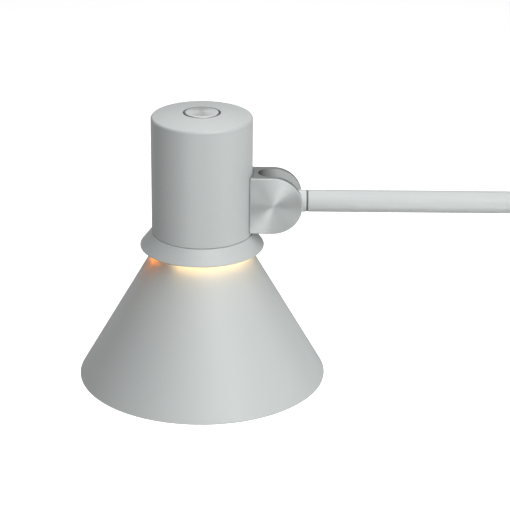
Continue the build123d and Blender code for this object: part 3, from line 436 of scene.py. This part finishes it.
def turned_bright(name, centre, along):
    """Bright steel with lathe rings on its end faces."""
    return turned_satin(name, centre, along, colour=(0.66, 0.66, 0.65), metallic=1.0, roughness=0.25,
                        stretch=0.55)


def socket_fastener(name, cad_node, centre, out, head_thick, body, finish, short=0.0):
    """A round-headed fastener about Y, from the far end of its shank to its socket. Its head faces
    out, -1 or 1, and its shank stops short of its full length by so much."""
    low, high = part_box(cad_node)
    head_r = (high.x - low.x) / 2
    head_face = abs((high if out > 0 else low).y)
    shank_r = head_r * SHANK_SHARE
    shank_end = abs((low if out > 0 else high).y) - short
    shank_far = -shank_end if (low.y < 0 < high.y) else shank_end
    seat = head_face - head_thick
    outline = [(0, seat)]
    if shank_far < seat:
        outline = [(0, shank_far), (shank_r - SHANK_CHAMFER, shank_far), (shank_r, shank_far + SHANK_CHAMFER),
                   (shank_r, seat - 0.0001), (shank_r, seat)]
    socket_r = head_r * SOCKET_SHARE
    outline += rounded([(head_r, seat, 0), (head_r, head_face, HEAD_ROUND),
                        (socket_r + SOCKET_LEAD, head_face, 0)], closed=False)
    first = len(outline)
    outline += [(socket_r, head_face - 0.0002), (socket_r, head_face - SOCKET_DEPTH),
                (0, head_face - SOCKET_DEPTH - SOCKET_CONE)]
    piece = lathe(name, outline, Vector((centre.x, 0, centre.z)), ALONG_Y * out,
                  hexagon_rows=(first, first + 1))
    coat(piece, finish)
    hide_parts(cad_node)
    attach(piece, body)


BOLT_HEAD = 0.0028
NUT_ROOM = BOLT_HEAD + 0.0001      # a bolt ends under its sleeve nut's head, clear of the nut's own socket
shoulder_bright = turned_bright("shoulder_bright", pivot["shoulder"], ALONG_Y)
socket_fastener("shoulder_bolt_turned", "shoulder_bolt", pivot["shoulder"], -1, BOLT_HEAD, "swivel",
                shoulder_bright, short=NUT_ROOM)
socket_fastener("shoulder_nut_turned", "shoulder_nut", pivot["shoulder"], 1, BOLT_HEAD, "swivel",
                shoulder_bright)
coat(node["spring_anchors"], bright)

# ---------------------------------------------------------------- lower arm
# Drawn aluminium tube between two machined fittings, glued on their spigots with a fine shadow gap at
# each end, all satin coated. Thin acetal washers take the friction at the shoulder.
LEAN = math.atan2(pivot["elbow"].x - pivot["shoulder"].x, pivot["elbow"].z - pivot["shoulder"].z)


def drawn_tube(name, lean, colour=SILVER_GREY):
    """Satin coat over a drawn tube that leans from upright by this angle, with faint lines along it."""
    material, tree, shader, place = begin_finish(name, colour, 0.12, 0.50)
    upright = tree.nodes.new("ShaderNodeVectorRotate")
    upright.rotation_type = "Y_AXIS"
    upright.inputs["Angle"].default_value = -lean
    tree.links.new(place, upright.inputs["Vector"])
    stretched = tree.nodes.new("ShaderNodeVectorMath")
    stretched.operation = "MULTIPLY"
    stretched.inputs[1].default_value = (1, 1, 0.012)
    tree.links.new(upright.outputs["Vector"], stretched.inputs[0])
    lines = grain(tree, stretched.outputs["Vector"], 1500)
    vary_colour(tree, shader, lines, *shades_of(colour, 0.05))
    vary_roughness(tree, shader, grain(tree, place, 50, detail=3), 0.45, 0.54)
    emboss(tree, shader, lines, 0.000012)
    return material


leaning_tube = drawn_tube("leaning_tube", LEAN)
coat(node["lower_tube"], leaning_tube)
coat(node["arm_foot"], turned_satin("foot_rings", pivot["shoulder"], ALONG_Y))
coat(node["elbow_knuckle"], turned_satin("knuckle_rings", pivot["elbow"], ALONG_Y))
washer_plastic = dull_moulding("washer_plastic", (0.030, 0.030, 0.031), 0.42, 1600, 0.00002)
coat(node["shoulder_washers"], washer_plastic)
coat(node["spring_crossbar"], bright)

# ---------------------------------------------------------------- balance springs
# Two tension springs of hard-drawn wire, each wound in one length: a loop round the lower anchor, a
# straight leg, the coil, and a loop over the crossbar on the arm. They hold up the lower arm.
wire_steel, wire_tree, wire_shader, wire_place = begin_finish("spring_wire", (0.50, 0.50, 0.49), 1.0, 0.27)
wire_marks = grain(wire_tree, wire_place, 900, detail=4)
vary_colour(wire_tree, wire_shader, wire_marks, (0.40, 0.395, 0.385), (0.58, 0.58, 0.575))
vary_roughness(wire_tree, wire_shader, wire_marks, 0.20, 0.38)
emboss(wire_tree, wire_shader, wire_marks, 0.00001)

wire_along = bpy.data.node_groups.new("wire_along_path", "GeometryNodeTree")
wire_along.interface.new_socket("Geometry", in_out="INPUT", socket_type="NodeSocketGeometry")
given = named_inputs(wire_along, WireRadius="NodeSocketFloat", Sides="NodeSocketInt",
                     Finish="NodeSocketMaterial")
wire_along.interface.new_socket("Geometry", in_out="OUTPUT", socket_type="NodeSocketGeometry")
path_in = wire_along.nodes.new("NodeGroupInput")
section = wire_along.nodes.new("GeometryNodeCurvePrimitiveCircle")
drawn = wire_along.nodes.new("GeometryNodeCurveToMesh")
drawn.inputs["Fill Caps"].default_value = True
real = wire_along.nodes.new("GeometryNodeRealizeInstances")
smooth = wire_along.nodes.new("GeometryNodeSetShadeSmooth")
paint = wire_along.nodes.new("GeometryNodeSetMaterial")
wire_out = wire_along.nodes.new("NodeGroupOutput")
wire_along.links.new(given["WireRadius"], section.inputs["Radius"])
wire_along.links.new(given["Sides"], section.inputs["Resolution"])
wire_along.links.new(path_in.outputs["Geometry"], drawn.inputs["Curve"])
wire_along.links.new(section.outputs["Curve"], drawn.inputs["Profile Curve"])
wire_along.links.new(drawn.outputs["Mesh"], real.inputs["Geometry"])
wire_along.links.new(real.outputs["Geometry"], smooth.inputs["Geometry"])
wire_along.links.new(smooth.outputs["Geometry"], paint.inputs["Geometry"])
wire_along.links.new(given["Finish"], paint.inputs["Material"])
wire_along.links.new(paint.outputs["Geometry"], wire_out.inputs["Geometry"])


def wire_path(name, points):
    """An open curve through the points."""
    curve = bpy.data.curves.new(name, "CURVE")
    curve.dimensions = "3D"
    spline = curve.splines.new("POLY")
    spline.points.add(len(points) - 1)
    for spot, point in zip(spline.points, points):
        spot.co = (*point, 1)
    thing = bpy.data.objects.new(name, curve)
    bpy.context.scene.collection.objects.link(thing)
    return thing


def wound(low, high, radius, turns, steps=22):
    """Points of a coil about Z from low to high. Its ends run in from the axis and back to it."""
    total = int(turns * steps)
    points = []
    for step in range(total + 1):
        turn = step / steps
        reach = radius * min(1.0, 2.5 * turn, 2.5 * (turns - turn))
        angle = 2 * math.pi * turn
        points.append((reach * math.cos(angle), reach * math.sin(angle),
                       low + (high - low) * step / total))
    return points


WIRE_R = 0.0009
COIL_R = 0.0060 - WIRE_R   # to the middle of the wire
LOOP_R = 0.0035
LEG = 0.062                # anchor to coil
TOP_LEG = 0.012
COIL_PITCH = 0.0024
anchor_low, anchor_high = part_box("spring_anchors")
bar_low, bar_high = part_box("spring_crossbar")
anchor = Vector((0, 0, (anchor_low.z + anchor_high.z) / 2))
crossbar = (bar_low + bar_high) / 2
run = (Vector((crossbar.x, 0, crossbar.z)) - anchor).length
spring_lean = math.atan2(crossbar.x - anchor.x, crossbar.z - anchor.z)
loop = [math.radians(a) for a in range(-235, 91, 13)]
low_loop = [(LOOP_R * math.cos(a), 0, LOOP_R * math.sin(a)) for a in loop]
top_loop = [(LOOP_R * math.cos(-a), 0, run + LOOP_R * math.sin(-a)) for a in reversed(loop)]
coil = wound(LEG, run - TOP_LEG, COIL_R, (run - TOP_LEG - LEG) / COIL_PITCH)
straight = [(0, 0, LOOP_R + (LEG - LOOP_R) * i / 12) for i in range(1, 12)]
spring_line = low_loop + straight + coil + top_loop
spring_out = (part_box("spring_back")[0].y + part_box("spring_back")[1].y) / 2
for name, side in (("spring_front", -1), ("spring_back", 1)):
    wire = run_nodes(wire_path(name + "_path", spring_line), wire_along, name + "_wound",
                     WireRadius=WIRE_R, Sides=9, Finish=wire_steel)
    wire.data.transform(Matrix.Translation(anchor + Vector((0, side * spring_out, 0)))
                        @ Matrix.Rotation(spring_lean, 4, "Y"))
    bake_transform(wire)
    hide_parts(name)

# ---------------------------------------------------------------- crank and link
# Flat machined crank on the shoulder bolt, and a thin tube with a clevis at the bottom and an eye at
# the top, which keeps the linkage square. The pins are plain bright steel.
coat(node["crank"], turned_satin("crank_rings", pivot["shoulder"], ALONG_Y))
coat(node["link_rod"], leaning_tube)
coat(node["link_clevis"], turned_satin("clevis_rings", pivot["link_turn"], ALONG_Y))
tail = pivot["elbow"] + (pivot["link_turn"] - pivot["shoulder"])
coat(node["link_eye"], turned_satin("eye_rings", tail, ALONG_Y))
coat(node["link_pin"], bright)

# ---------------------------------------------------------------- upper arm
# Machined yoke at the elbow, a long drawn tube, and a round-nosed end fitting with a fine groove where
# it meets the tube. The tail behind the elbow carries the link's upper pin.
coat(node["elbow_yoke"], turned_satin("yoke_rings", pivot["elbow"], ALONG_Y))
level_tube = drawn_tube("level_tube", math.pi / 2)
coat(node["upper_tube"], level_tube)
end_satin = satin("end_satin", colour=(0.56, 0.58, 0.575))
coat(node["arm_end"], end_satin)

# A dark ring sits in the groove at each end of the tube, a little below its surface; its dark colour is
# painted shadow, standing in for the shade deep in the groove.
GROOVE = 0.0011
RING_SUNK = 0.00028
RING_PLAY = 0.00008
RING_DEPTH = 0.0014        # from the tube's surface to the ring's inside
ALONG_X = Vector((1, 0, 0))
tube_low, tube_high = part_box("upper_tube")
tube_r = (tube_high.z - tube_low.z) / 2
# Painted shadow: this dark finish makes the groove read as a shadow line.
groove_shadow_fill = dull_moulding("groove_shadow_fill", (0.12, 0.125, 0.125), 0.50, 1800, 0.00001)
for name, left in (("arm_end_ring", tube_low.x - GROOVE), ("yoke_ring", tube_high.x)):
    ring_outline = rounded([
        (tube_r - RING_DEPTH, left + RING_PLAY, 0), (tube_r - RING_SUNK, left + RING_PLAY, 0.0001),
        (tube_r - RING_SUNK, left + GROOVE - RING_PLAY, 0.0001),
        (tube_r - RING_DEPTH, left + GROOVE - RING_PLAY, 0)])
    nylon_ring = lathe(name, ring_outline, Vector((0, 0, pivot["elbow"].z)), ALONG_X, sides=64)
    coat(nylon_ring, groove_shadow_fill)
    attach(nylon_ring, "upper_arm")
for part in ("tilt_washers", "elbow_washers"):
    coat(node[part], washer_plastic)
elbow_bright = turned_bright("elbow_bright", pivot["elbow"], ALONG_Y)
socket_fastener("elbow_bolt_turned", "elbow_bolt", pivot["elbow"], -1, BOLT_HEAD, "upper_arm",
                elbow_bright, short=NUT_ROOM)
socket_fastener("elbow_nut_turned", "elbow_nut", pivot["elbow"], 1, BOLT_HEAD, "upper_arm", elbow_bright)
coat(node["tail_pin"], bright)

# ---------------------------------------------------------------- tilt fork
# Aluminium fork that the head turns on, faced on the lathe about its pivot, so that its round cheeks
# catch the light in two fans. Two screws hold it from inside the housing. The walls of its milled slot
# are dull, with painted shade that darkens them towards the closed end.
TILT_HEAD = 0.0020
FORK_METAL = 0.75
SLOT_HALF = tube_r + 0.00055
SLOT_BACK = tube_r + 0.0025        # pivot to the slot's closed end
SLOT_MARGIN = 0.00006
tilt_rings = turned_satin("tilt_rings", pivot["head_tilt"], ALONG_Y, metallic=FORK_METAL, roughness=0.38,
                          stretch=0.92)
tilt_tree = tilt_rings.node_tree
tilt_shader = tilt_tree.nodes["Principled BSDF"]
tilt_place = tilt_tree.nodes.new("ShaderNodeTexCoord").outputs["Object"]
split = tilt_tree.nodes.new("ShaderNodeSeparateXYZ")
tilt_tree.links.new(tilt_place, split.inputs[0])


def worked_out(tree, operation, *values):
    """One arithmetic step on values or sockets."""
    step = tree.nodes.new("ShaderNodeMath")
    step.operation = operation
    for socket, value in zip(step.inputs, values):
        if isinstance(value, bpy.types.NodeSocket):
            tree.links.new(value, socket)
        else:
            socket.default_value = value
    return step.outputs[0]


round_end = pivot["head_tilt"].x - SLOT_BACK + SLOT_HALF
past_end = worked_out(tilt_tree, "SUBTRACT", split.outputs["X"], round_end)
inwards = worked_out(tilt_tree, "MINIMUM", past_end, 0.0)
across = worked_out(tilt_tree, "MULTIPLY", split.outputs["Y"], split.outputs["Y"])
off_line = worked_out(tilt_tree, "SQRT", worked_out(tilt_tree, "MULTIPLY_ADD", inwards, inwards, across))
in_slot = worked_out(tilt_tree, "LESS_THAN", off_line, SLOT_HALF + SLOT_MARGIN)
# Painted shade: inside the slot the colour runs from near black at the closed end to the silver grey near the
# nose, and the metal is taken out.
slot_shade_ramp = tilt_tree.nodes.new("ShaderNodeMapRange")
slot_shade_ramp.inputs["From Min"].default_value = pivot["head_tilt"].x - SLOT_BACK
slot_shade_ramp.inputs["From Max"].default_value = round_end + SLOT_HALF * 0.6
tilt_tree.links.new(split.outputs["X"], slot_shade_ramp.inputs["Value"])
slot_painted_shade = tilt_tree.nodes.new("ShaderNodeMix")
slot_painted_shade.data_type = "RGBA"
slot_painted_shade.inputs[6].default_value = (0.012, 0.013, 0.013, 1)
slot_painted_shade.inputs[7].default_value = (0.52, 0.54, 0.535, 1)
tilt_tree.links.new(slot_shade_ramp.outputs["Result"], slot_painted_shade.inputs[0])
fork_tone = tilt_tree.nodes.new("ShaderNodeMix")
fork_tone.data_type = "RGBA"
tilt_tree.links.new(in_slot, fork_tone.inputs[0])
tilt_tree.links.new(tilt_shader.inputs["Base Color"].links[0].from_socket, fork_tone.inputs[6])
tilt_tree.links.new(slot_painted_shade.outputs[2], fork_tone.inputs[7])
tilt_tree.links.new(fork_tone.outputs[2], tilt_shader.inputs["Base Color"])
tilt_tree.links.new(worked_out(tilt_tree, "MULTIPLY_ADD", in_slot, -FORK_METAL, FORK_METAL),
                    tilt_shader.inputs["Metallic"])
coat(node["tilt_fork"], tilt_rings)
socket_fastener("tilt_bolt_turned", "tilt_bolt", pivot["head_tilt"], 1, TILT_HEAD, "head",
                turned_bright("tilt_bright", pivot["head_tilt"], ALONG_Y))
coat(node["fork_screws"], zinc)

# ---------------------------------------------------------------- housing
# Extruded aluminium tube closed by a slightly domed top with a rounded rim, blasted and satin coated.
# The hole in the middle of its top leaves a dark ring round the button.
shell_low, shell_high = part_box("body_shell")
head_axis = Vector(((shell_low.x + shell_high.x) / 2, 0, 0))
coat(node["body_shell"], satin("housing_satin"))

# ---------------------------------------------------------------- collar
# Spun aluminium skirt pushed into the bottom of the housing, with a turned-over spigot inside. Its rim
# is trimmed and rounded, and it hides the lit gap above the shade.
ALONG_Z = Vector((0, 0, 1))
COLLAR_SPIGOT = 0.008
COLLAR_WALL = 0.0016
COLLAR_HOLE_R = 0.0215
COLLAR_SEAM = 0.00032      # the skirt stops this far short of the housing, which leaves a dark line
COLLAR_PROUD = 0.0007      # the skirt's top, past the housing's side
SPIGOT_INSET = 0.00205     # the spigot's outside, in from the housing's side
collar_low, collar_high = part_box("collar")
rim_r = (collar_high.x - collar_low.x) / 2
collar_top = collar_high.z - COLLAR_SPIGOT
shell_r = (shell_high.x - shell_low.x) / 2
top_r = shell_r + COLLAR_PROUD
spigot_r = shell_r - SPIGOT_INSET
collar_outline = rounded([
    (spigot_r, collar_high.z, 0.0003), (spigot_r, collar_top - COLLAR_SEAM, 0),
    (top_r, collar_top - COLLAR_SEAM, 0.0003),
    (rim_r, collar_low.z, 0.0005), (rim_r - COLLAR_WALL, collar_low.z, 0.0005),
    (top_r - COLLAR_WALL, collar_top - COLLAR_WALL, 0.0004),
    (COLLAR_HOLE_R, collar_top - COLLAR_WALL, 0.0003), (COLLAR_HOLE_R, collar_top, 0.0003),
    (spigot_r - COLLAR_WALL, collar_top, 0), (spigot_r - COLLAR_WALL, collar_high.z, 0.0003)])
collar = lathe("collar_spun", collar_outline, head_axis, ALONG_Z, sides=160)
coat(collar, satin("collar_satin"))
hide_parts("collar")
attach(collar, "head")

# ---------------------------------------------------------------- shade
# Aluminium cone spun to a thin wall, trimmed top and bottom and rounded over. Outside it has the same
# satin coat over faint spinning rings; inside it is a lighter satin that throws the light down.
SHADE_TOP_R = 0.030
SHADE_WALL = 0.00138       # measured level
INSIDE_FROM = -0.3         # faces that look further inwards than this get the inside's coat
shade_low, shade_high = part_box("shade")
shade_rim_r = (shade_high.x - shade_low.x) / 2
shade_outline = rounded([
    (SHADE_TOP_R, shade_high.z, 0.0005), (shade_rim_r, shade_low.z, 0.0005),
    (shade_rim_r - SHADE_WALL, shade_low.z, 0.0005), (SHADE_TOP_R - SHADE_WALL, shade_high.z, 0.0005)])
shade = lathe("shade_spun", shade_outline, head_axis, ALONG_Z, sides=220)


def spun_satin(name, colour, metallic, roughness, stretch):
    """Satin coat over a spun cone: faint rings, one above another."""
    material, tree, shader, place = begin_finish(name, colour, metallic, roughness)
    travel, distance = about(tree, place, head_axis, ALONG_Z)
    lie_along(tree, shader, travel, stretch)
    rings = tool_lines(tree, distance, 2400)
    vary_colour(tree, shader, rings, *shades_of(colour, 0.012))
    vary_roughness(tree, shader, grain(tree, place, 30, detail=3), roughness - 0.04, roughness + 0.05)
    emboss(tree, shader, rings, 0.000003)
    emboss(tree, shader, grain(tree, place, 1300), 0.000012)
    return material


shade.data.materials.append(spun_satin("shade_outside", SILVER_GREY, 0.12, 0.50, 0.35))
shade.data.materials.append(spun_satin("shade_inside", (0.78, 0.78, 0.77), 0.25, 0.5, 0.2))
for face in shade.data.polygons:
    outwards = Vector((face.center.x - head_axis.x, face.center.y, 0)).normalized()
    face.material_index = 0 if face.normal.dot(outwards) > INSIDE_FROM else 1
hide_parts("shade")
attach(shade, "head")

# ---------------------------------------------------------------- spider
# Three-legged pressing with bent tabs, riveted inside the top of the shade. It hangs from the
# lampholder's shoulder, and light passes up between its legs.
for part in ("shade_spider", "spider_rivets"):
    coat(node[part], zinc)

# ---------------------------------------------------------------- lampholder
# Glazed porcelain holder with a brass thread and contact, clamped to a bent steel bracket by a
# threaded nipple. A porcelain ring screws on below and holds the shade up.
glaze, glaze_tree, glaze_shader, glaze_place = begin_finish("white_glaze", (0.80, 0.79, 0.76), 0.0, 0.22)
glaze_pool = grain(glaze_tree, glaze_place, 120, detail=3)
vary_colour(glaze_tree, glaze_shader, glaze_pool, (0.76, 0.75, 0.715), (0.84, 0.83, 0.81))
vary_roughness(glaze_tree, glaze_shader, glaze_pool, 0.15, 0.30)
emboss(glaze_tree, glaze_shader, glaze_pool, 0.00012)
glaze_shader.inputs["Coat Weight"].default_value = 0.6
glaze_shader.inputs["Coat Roughness"].default_value = 0.08
for part in ("lampholder", "shade_ring"):
    coat(node[part], glaze)


def threaded(name, colour, roughness, pitch, depth):
    """Metal rolled with a round thread about the head's axis."""
    material, tree, shader, place = begin_finish(name, colour, 1.0, roughness)
    height = tree.nodes.new("ShaderNodeSeparateXYZ")
    tree.links.new(place, height.inputs[0])
    phase = worked_out(tree, "MULTIPLY", height.outputs["Z"], 2 * math.pi / pitch)
    tarnish = grain(tree, place, 150, detail=5)
    vary_colour(tree, shader, tarnish, *shades_of(colour, 0.2))
    vary_roughness(tree, shader, tarnish, roughness - 0.08, roughness + 0.12)
    emboss(tree, shader, worked_out(tree, "SINE", phase), depth)
    return material


E27_PITCH = 0.00362
THREAD_RELIEF = 0.0004
brass = threaded("rolled_brass", (0.72, 0.52, 0.22), 0.30, E27_PITCH, THREAD_RELIEF)
for part in ("thread_shell", "centre_contact"):
    coat(node[part], brass)
for part in ("holder_bracket", "nipple", "nipple_nut"):
    coat(node[part], zinc)

# ---------------------------------------------------------------- lamp
# Small opal globe on a nickel-plated screw cap. The glass is white all through, faintly clouded, and
# glows evenly with a warm light.
opal, opal_tree, opal_shader, opal_place = begin_finish("opal_glass", (0.90, 0.88, 0.84), 0.0, 0.35)
frosting = grain(opal_tree, opal_place, 400, detail=3)
vary_colour(opal_tree, opal_shader, frosting, (0.86, 0.84, 0.80), (0.92, 0.90, 0.87))
vary_roughness(opal_tree, opal_shader, frosting, 0.28, 0.42)
emboss(opal_tree, opal_shader, frosting, 0.00002)
opal_shader.inputs["Emission Color"].default_value = (1.0, 0.74, 0.44, 1)
opal_shader.inputs["Emission Strength"].default_value = 2.2
coat(node["bulb_globe"], opal)
coat(node["bulb_cap"], threaded("rolled_nickel", (0.62, 0.61, 0.59), 0.30, E27_PITCH, THREAD_RELIEF))

# ---------------------------------------------------------------- switch and button
# Moulded push switch under the housing's top, a return spring, and a turned aluminium button whose
# face is very slightly domed and shows the lathe's rings.
coat(node["switch_body"], dull_moulding("switch_plastic", (0.030, 0.030, 0.032), 0.45, 1800, 0.00002))

cap_low, cap_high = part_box("button_cap")
button_r = (cap_high.x - cap_low.x) / 2
button_centre = Vector(((cap_low.x + cap_high.x) / 2, 0, 0))
BUTTON_THICK = 0.0046
STEM_R = 0.0030
BUTTON_DOME = 0.00015
button_face = cap_high.z - BUTTON_DOME
button_under = button_face - BUTTON_THICK
dome_shares = [0.9 * (1 - i / 6) for i in range(6)]        # of the button's radius, from the edge inwards
face_steps = [(button_r * share, cap_high.z - BUTTON_DOME * share ** 2) for share in dome_shares]
button_outline = [(0, cap_low.z), (STEM_R - 0.0003, cap_low.z), (STEM_R, cap_low.z + 0.0003),
                  (STEM_R, button_under)]
button_outline += rounded([(STEM_R, button_under, 0), (button_r, button_under, 0.0003),
                           (button_r, button_face - 0.0002, 0.0007), (button_r * 0.92, button_face, 0)],
                          closed=False)[1:]
button_outline += face_steps + [(0, cap_high.z)]
button = lathe("button_turned", button_outline, button_centre, ALONG_Z, sides=120)
coat(button, turned_satin("button_rings", button_centre, ALONG_Z, colour=(0.51, 0.52, 0.52), metallic=0.45,
                          roughness=0.40, stretch=0.6))
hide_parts("button_cap")
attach(button, "button")

# The return spring stands between the switch and the button, and shortens as the button is pushed.
coil_low, coil_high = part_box("button_spring")
RETURN_WIRE_R = 0.0003
RETURN_TURNS = 4.5
RETURN_STEPS = 99
return_r = (coil_high.x - coil_low.x) / 2 - RETURN_WIRE_R
return_rise = coil_high.z - coil_low.z - 2 * RETURN_WIRE_R
return_line = []
for i in range(RETURN_STEPS + 1):
    angle = 2 * math.pi * RETURN_TURNS * i / RETURN_STEPS
    return_line.append((return_r * math.cos(angle), return_r * math.sin(angle),
                        coil_low.z + RETURN_WIRE_R + return_rise * i / RETURN_STEPS))
return_spring = run_nodes(wire_path("return_path", return_line), wire_along, "button_spring_wound",
                          WireRadius=RETURN_WIRE_R, Sides=8, Finish=wire_steel)
return_spring.data.transform(Matrix.Translation(Vector((button_centre.x, 0, 0))))
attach(return_spring, "head")
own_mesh(return_spring)
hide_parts("button_spring")

# ---------------------------------------------------------------- light that escapes above the shade
# Light comes up between the spider's legs, strikes the inside of the collar, and washes down over the
# top of the shade. Small lamps under the collar stand in for it, one group to each opening: warm white
# in front and behind, and orange on the left.
GAP_R = 0.0344
GAP_Z = shade_high.z + 0.0004
GAP_LAMP_R = 0.0015


def gap_lamps(name, degrees, colour, power):
    """Small lamps under the collar at these angles round the head."""
    for number, angle in enumerate(degrees):
        lamp = bpy.data.lights.new(f"{name}_{number}", "POINT")
        lamp.color = colour
        lamp.energy = power
        lamp.shadow_soft_size = GAP_LAMP_R
        thing = bpy.data.objects.new(lamp.name, lamp)
        turn = math.radians(angle)
        thing.visible_glossy = False
        thing.location = (head_axis.x + GAP_R * math.cos(turn), GAP_R * math.sin(turn), GAP_Z)
        bpy.context.scene.collection.objects.link(thing)
        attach(thing, "head")


gap_lamps("front_gap", range(-118, -13, 8), (1.0, 0.66, 0.29), 0.00098)
gap_lamps("left_gap", (-153, -161, -169), (1.0, 0.25, 0.0), 0.0022)
gap_lamps("back_gap", (10, 25, 40, 55, 70, 85, 130, 145, 160, 175), (1.0, 0.68, 0.30), 0.0011)

# ---------------------------------------------------------------- studio
# Plain pale floor and soft light from all round, strongest in front on the right and overhead. The
# floor and the air look bright but throw little light back, so that the metal keeps its shape.
FLOOR_HALF = 6.0
floor_mesh = bpy.data.meshes.new("floor")
floor_mesh.from_pydata([(-FLOOR_HALF, -FLOOR_HALF, 0), (FLOOR_HALF, -FLOOR_HALF, 0),
                        (FLOOR_HALF, FLOOR_HALF, 0), (-FLOOR_HALF, FLOOR_HALF, 0)], [], [(0, 1, 2, 3)])
floor = shown("floor", floor_mesh)
pale = bpy.data.materials.new("pale_floor")
pale.use_nodes = True
pale_tree = pale.node_tree
pale_tree.nodes.clear()
seen = pale_tree.nodes.new("ShaderNodeLightPath")
lit = pale_tree.nodes.new("ShaderNodeBsdfDiffuse")
lit.inputs["Color"].default_value = (0.90, 0.90, 0.90, 1)
glow = pale_tree.nodes.new("ShaderNodeEmission")
glow.inputs["Strength"].default_value = 0.78
both = pale_tree.nodes.new("ShaderNodeAddShader")
bounce = pale_tree.nodes.new("ShaderNodeEmission")
bounce.inputs["Strength"].default_value = 0.28
pick = pale_tree.nodes.new("ShaderNodeMixShader")
floor_out = pale_tree.nodes.new("ShaderNodeOutputMaterial")
pale_tree.links.new(lit.outputs[0], both.inputs[0])
pale_tree.links.new(glow.outputs[0], both.inputs[1])
pale_tree.links.new(seen.outputs["Is Camera Ray"], pick.inputs[0])
pale_tree.links.new(bounce.outputs[0], pick.inputs[1])
pale_tree.links.new(both.outputs[0], pick.inputs[2])
pale_tree.links.new(pick.outputs[0], floor_out.inputs["Surface"])
coat(floor, pale)

world = bpy.data.worlds.new("studio_air")
bpy.context.scene.world = world
world.use_nodes = True
air = world.node_tree
air.nodes.clear()
air_seen = air.nodes.new("ShaderNodeLightPath")
air_white = air.nodes.new("ShaderNodeBackground")
air_white.inputs["Strength"].default_value = 1.0
air_dim = air.nodes.new("ShaderNodeBackground")
air_dim.inputs["Color"].default_value = (0.93, 0.97, 1.0, 1)
air_dim.inputs["Strength"].default_value = 0.02
air_pick = air.nodes.new("ShaderNodeMixShader")
air_out = air.nodes.new("ShaderNodeOutputWorld")
air.links.new(air_seen.outputs["Is Camera Ray"], air_pick.inputs[0])
air.links.new(air_dim.outputs[0], air_pick.inputs[1])
air.links.new(air_white.outputs[0], air_pick.inputs[2])
air.links.new(air_pick.outputs[0], air_out.inputs["Surface"])

AIM = Vector((head_axis.x + 0.05, 0, pivot["head_tilt"].z - 0.02))


def facing(spot, target):
    """The place and turn of a light that stands at the spot and shines at the target."""
    turned = (spot - target).to_track_quat("Z", "Y").to_matrix().to_4x4()
    return Matrix.Translation(spot) @ turned


def softbox(name, azimuth, elevation, distance, size, power):
    """A square softbox aimed at the head. Azimuth 0 is in front, towards -Y, and 90 on the right."""
    lamp = bpy.data.lights.new(name, "AREA")
    lamp.size = size
    lamp.energy = power
    thing = bpy.data.objects.new(name, lamp)
    turn, lift = math.radians(azimuth), math.radians(elevation)
    away = Vector((math.sin(turn) * math.cos(lift), -math.cos(turn) * math.cos(lift), math.sin(lift)))
    thing.matrix_world = facing(AIM + away * distance, AIM)
    bpy.context.scene.collection.objects.link(thing)
    return thing


# High boxes: across the front from left to right, then behind, then overhead.
softbox("front_left", -15, 38, 1.6, 0.9, 2.8)
softbox("key", 25, 38, 1.6, 0.9, 8.5)
softbox("right", 70, 38, 1.6, 0.9, 1.2)
softbox("back", 180, 38, 1.6, 0.9, 1.8)
softbox("back_left", -135, 38, 1.6, 0.9, 0.4)
softbox("overhead", 10, 80, 1.4, 1.2, 9.5)
softbox("overhead_back", 180, 60, 1.4, 1.0, 7.0)
# Boxes a little above the lamp's own level, from left to right.
softbox("level_left", -30, 16, 1.5, 0.6, 0.8)
softbox("level_key", 30, 16, 1.5, 0.6, 2.9)
softbox("level_right", 90, 16, 1.5, 0.6, 2.5)
# Low cards that stand on the floor and lift the housing's upright sides.
for azimuth, power in ((-140, 0.35), (-20, 1.4), (20, 0.66), (60, 1.3), (100, 0.88), (140, 0.37)):
    card = softbox(f"card_{azimuth}", azimuth, -10, 0.95, 0.5, power)
    card.data.shape = "RECTANGLE"
    card.data.size_y = 0.28

# A narrow-beamed card under the upper arm, in front, lifts the tube's underside and leaves the head alone.
tube_card = softbox("tube_card", 0, 0, 0.5, 0.16, 0.02)
tube_card.data.spread = math.radians(26)
tube_card.matrix_world = facing(Vector((-0.02, -0.34, 0.12)), Vector((-0.12, 0, pivot["elbow"].z)))

# ---------------------------------------------------------------- camera
# Long lens looking down on the head from in front, with the camera tipped by a fraction of a degree.
CAMERA_AT = (-0.23847, -1.15305, 0.79572)
LOOK_DOWN = 22.2326
TIP = 0.5
LENS = 137.4
camera = bpy.data.objects.new("camera", bpy.data.cameras.new("camera"))
camera.data.lens = LENS
camera.data.sensor_width = 36.0
camera.data.clip_start = 0.05
camera.data.clip_end = 30.0
camera.matrix_world = (Matrix.Translation(CAMERA_AT)
                       @ Matrix.Rotation(math.radians(90 - LOOK_DOWN), 4, "X")
                       @ Matrix.Rotation(math.radians(TIP), 4, "Z"))
bpy.context.scene.collection.objects.link(camera)
bpy.context.scene.camera = camera
bpy.context.scene.view_settings.view_transform = "Standard"
